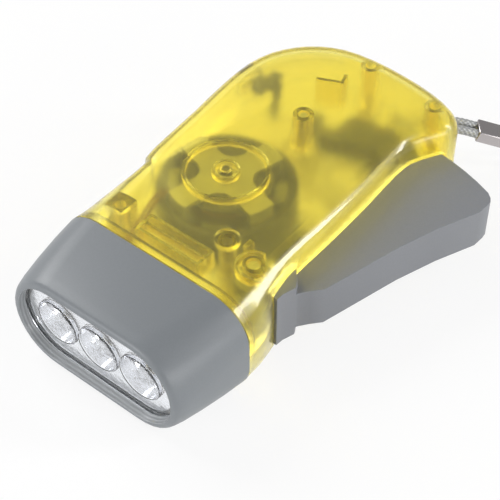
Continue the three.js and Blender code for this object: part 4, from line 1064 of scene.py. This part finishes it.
def shapeMouth(piece):
    # the front of the head stands a little taller than the plain solid's, and its left end a
    # little lower
    for vertex in piece.data.vertices:
        ahead = max((-vertex.co.y / mm - mouth["joint"]) / mouth["length"], 0) ** mouth["swell"]
        left = max((lamp["across"] - vertex.co.x / mm) / mouth["halfWidth"], 0) ** mouth["swell"]
        middle = lamp["height"] * mm
        vertex.co.z = middle + (vertex.co.z - middle) * (1 + mouth["taller"] * ahead)
        vertex.co.z -= mouth["droop"] * mm * ahead * left


def dressArm(piece):
    # the toothed arm inside the case is coloured dark: painted shade
    piece.data.materials.append(finishes["shadedArm"])
    for face in piece.data.polygons:
        place = face.center / mm - Vector((*armShadeArea["pin"], 0))
        turned = math.degrees(math.atan2(place.y, place.x))
        level = armShadeArea["low"] < place.z < armShadeArea["high"]
        if turned > armShadeArea["from"] and place.xy.length > armShadeArea["beyond"] and level:
            face.material_index = 1


def dressLip(piece):
    # the inside of the mouth was cut by a turning tool, and its fine rings show; these faces take
    # the paler turned finish, a painted highlight
    piece.data.materials.append(finishes["lip"])
    for face in piece.data.polygons:
        place = face.center / mm
        core = min(max(place.x, lamp["across"] - lamp["pitch"]), lamp["across"] + lamp["pitch"])
        inward = Vector((core - place.x, 0, lamp["height"] - place.z)).normalized()
        if -place.y > mouth["lipStart"] and face.normal.dot(inward) > mouth["lipFacing"]:
            face.material_index = 1


record = frame["record"]
bodyOf = {node: body for body, members in record["behaviour"]["bodies"].items() for node in members}
slotOf = {entry["node"]: entry["material_slot"] for entry in record["subparts"]}
for node, (name, finish, angle) in dressed.items():
    piece = dressedCopy(node, name, finish, angle)
    if node in softened:
        softenEdges(piece, softened[node])
    if node == "lever":
        dressArm(piece)
    if node == "head_bezel":
        shapeMouth(piece)
        dressLip(piece)
    standFor(piece, bodyOf[node], slotOf[node], node)
print("copies dressed:", len(dressed))


# Floor and light

studio = {
    "floorSize": 6.0,
    "floorGlow": 0.86,
    "world": 0.25,
    "worldGloss": 0.2,
    "lamps": [
        # name, direction to it, metres away, size across and high in metres, watts
        ("window", (-0.9, 0.02, 0.72), 1.0, 0.6, 0.6, 6.8),
        ("low front", (-0.25, -0.95, 0.3), 1.0, 0.6, 0.4, 4.6),
        ("right fill", (0.95, -0.15, 0.25), 1.0, 0.8, 0.3, 3.7),
        ("side strip", (0.70, 0.53, 0.45), 0.8, 0.09, 0.5, 3.0),
    ],
}
beforeMatt = 0.5  # diffuse depth of rays that have met no matt surface yet


def showsWhite(tree, share, glossyShare, clearShare=1.0):
    # the share of white that camera, transmission and glossy rays get
    rays = addNode(tree, "ShaderNodeLightPath")
    glossy = addNode(
        tree, "ShaderNodeMath", {"operation": "MULTIPLY"}, {1: glossyShare},
        {0: rays.outputs["Is Glossy Ray"]},
    )
    clear = addNode(
        tree, "ShaderNodeMath", {"operation": "MULTIPLY"}, {1: clearShare},
        {0: rays.outputs["Is Transmission Ray"]},
    )
    direct = addNode(tree, "ShaderNodeMath", {"operation": "MAXIMUM"}, links={
        0: rays.outputs["Is Camera Ray"], 1: clear.outputs[0],
    })
    seen = addNode(tree, "ShaderNodeMath", {"operation": "MAXIMUM"}, links={
        0: direct.outputs[0], 1: glossy.outputs[0],
    })
    # light that has met a matt surface gets the plain room, so that the object isn't lit by this
    first = addNode(
        tree, "ShaderNodeMath", {"operation": "LESS_THAN"}, {1: beforeMatt},
        {0: rays.outputs["Diffuse Depth"]},
    )
    shown = addNode(tree, "ShaderNodeMath", {"operation": "MULTIPLY"}, links={
        0: seen.outputs[0], 1: first.outputs[0],
    })
    part = addNode(
        tree, "ShaderNodeMath", {"operation": "MULTIPLY"}, {1: share}, {0: shown.outputs[0]},
    )
    return part.outputs[0]


# White paper under the object. It shows white to the camera and through glass, and still takes
# the object's shadow.
def makeFloor():
    bpy.ops.object.select_all(action="DESELECT")
    bpy.ops.mesh.primitive_plane_add(size=studio["floorSize"])
    floor = bpy.context.object
    floor.name = "floor"
    material, tree = newMaterial("pale paper")
    paper = addNode(tree, "ShaderNodeBsdfPrincipled", inputs={
        "Base Color": linear("#F7F7F7"), "Roughness": 0.9,
    })
    glow = addNode(tree, "ShaderNodeEmission", inputs={"Color": (1, 1, 1, 1), "Strength": 1.0})
    shown = showsWhite(tree, studio["floorGlow"], 1.0, 1 / studio["floorGlow"])
    both = addNode(tree, "ShaderNodeMixShader", links={
        0: shown, 1: paper.outputs[0], 2: glow.outputs[0],
    })
    finishMaterial(tree, both.outputs["Shader"])
    floor.data.materials.append(material)


def makeLight():
    world = bpy.data.worlds.new("white room")
    scene.world = world
    world.use_nodes = True
    tree = world.node_tree
    tree.nodes.clear()
    room = addNode(tree, "ShaderNodeBackground", inputs={
        "Color": (1, 1, 1, 1), "Strength": studio["world"],
    })
    white = addNode(tree, "ShaderNodeBackground", inputs={"Color": (1, 1, 1, 1), "Strength": 1.0})
    both = addNode(tree, "ShaderNodeMixShader", links={
        0: showsWhite(tree, 1.0, studio["worldGloss"]), 1: room.outputs[0], 2: white.outputs[0],
    })
    output = addNode(tree, "ShaderNodeOutputWorld")
    tree.links.new(both.outputs["Shader"], output.inputs["Surface"])
    for name, direction, distance, across, high, watts in studio["lamps"]:
        toLamp = Vector(direction).normalized()
        bpy.ops.object.light_add(type="AREA", location=toLamp * distance)
        light = bpy.context.object
        light.name = name
        light.data.shape = "RECTANGLE"
        light.data.size = across
        light.data.size_y = high
        light.data.energy = watts
        light.rotation_euler = (-toLamp).to_track_quat("-Z", "Y").to_euler()


makeFloor()
makeLight()
scene.view_settings.view_transform = "Standard"
print("floor and light set")
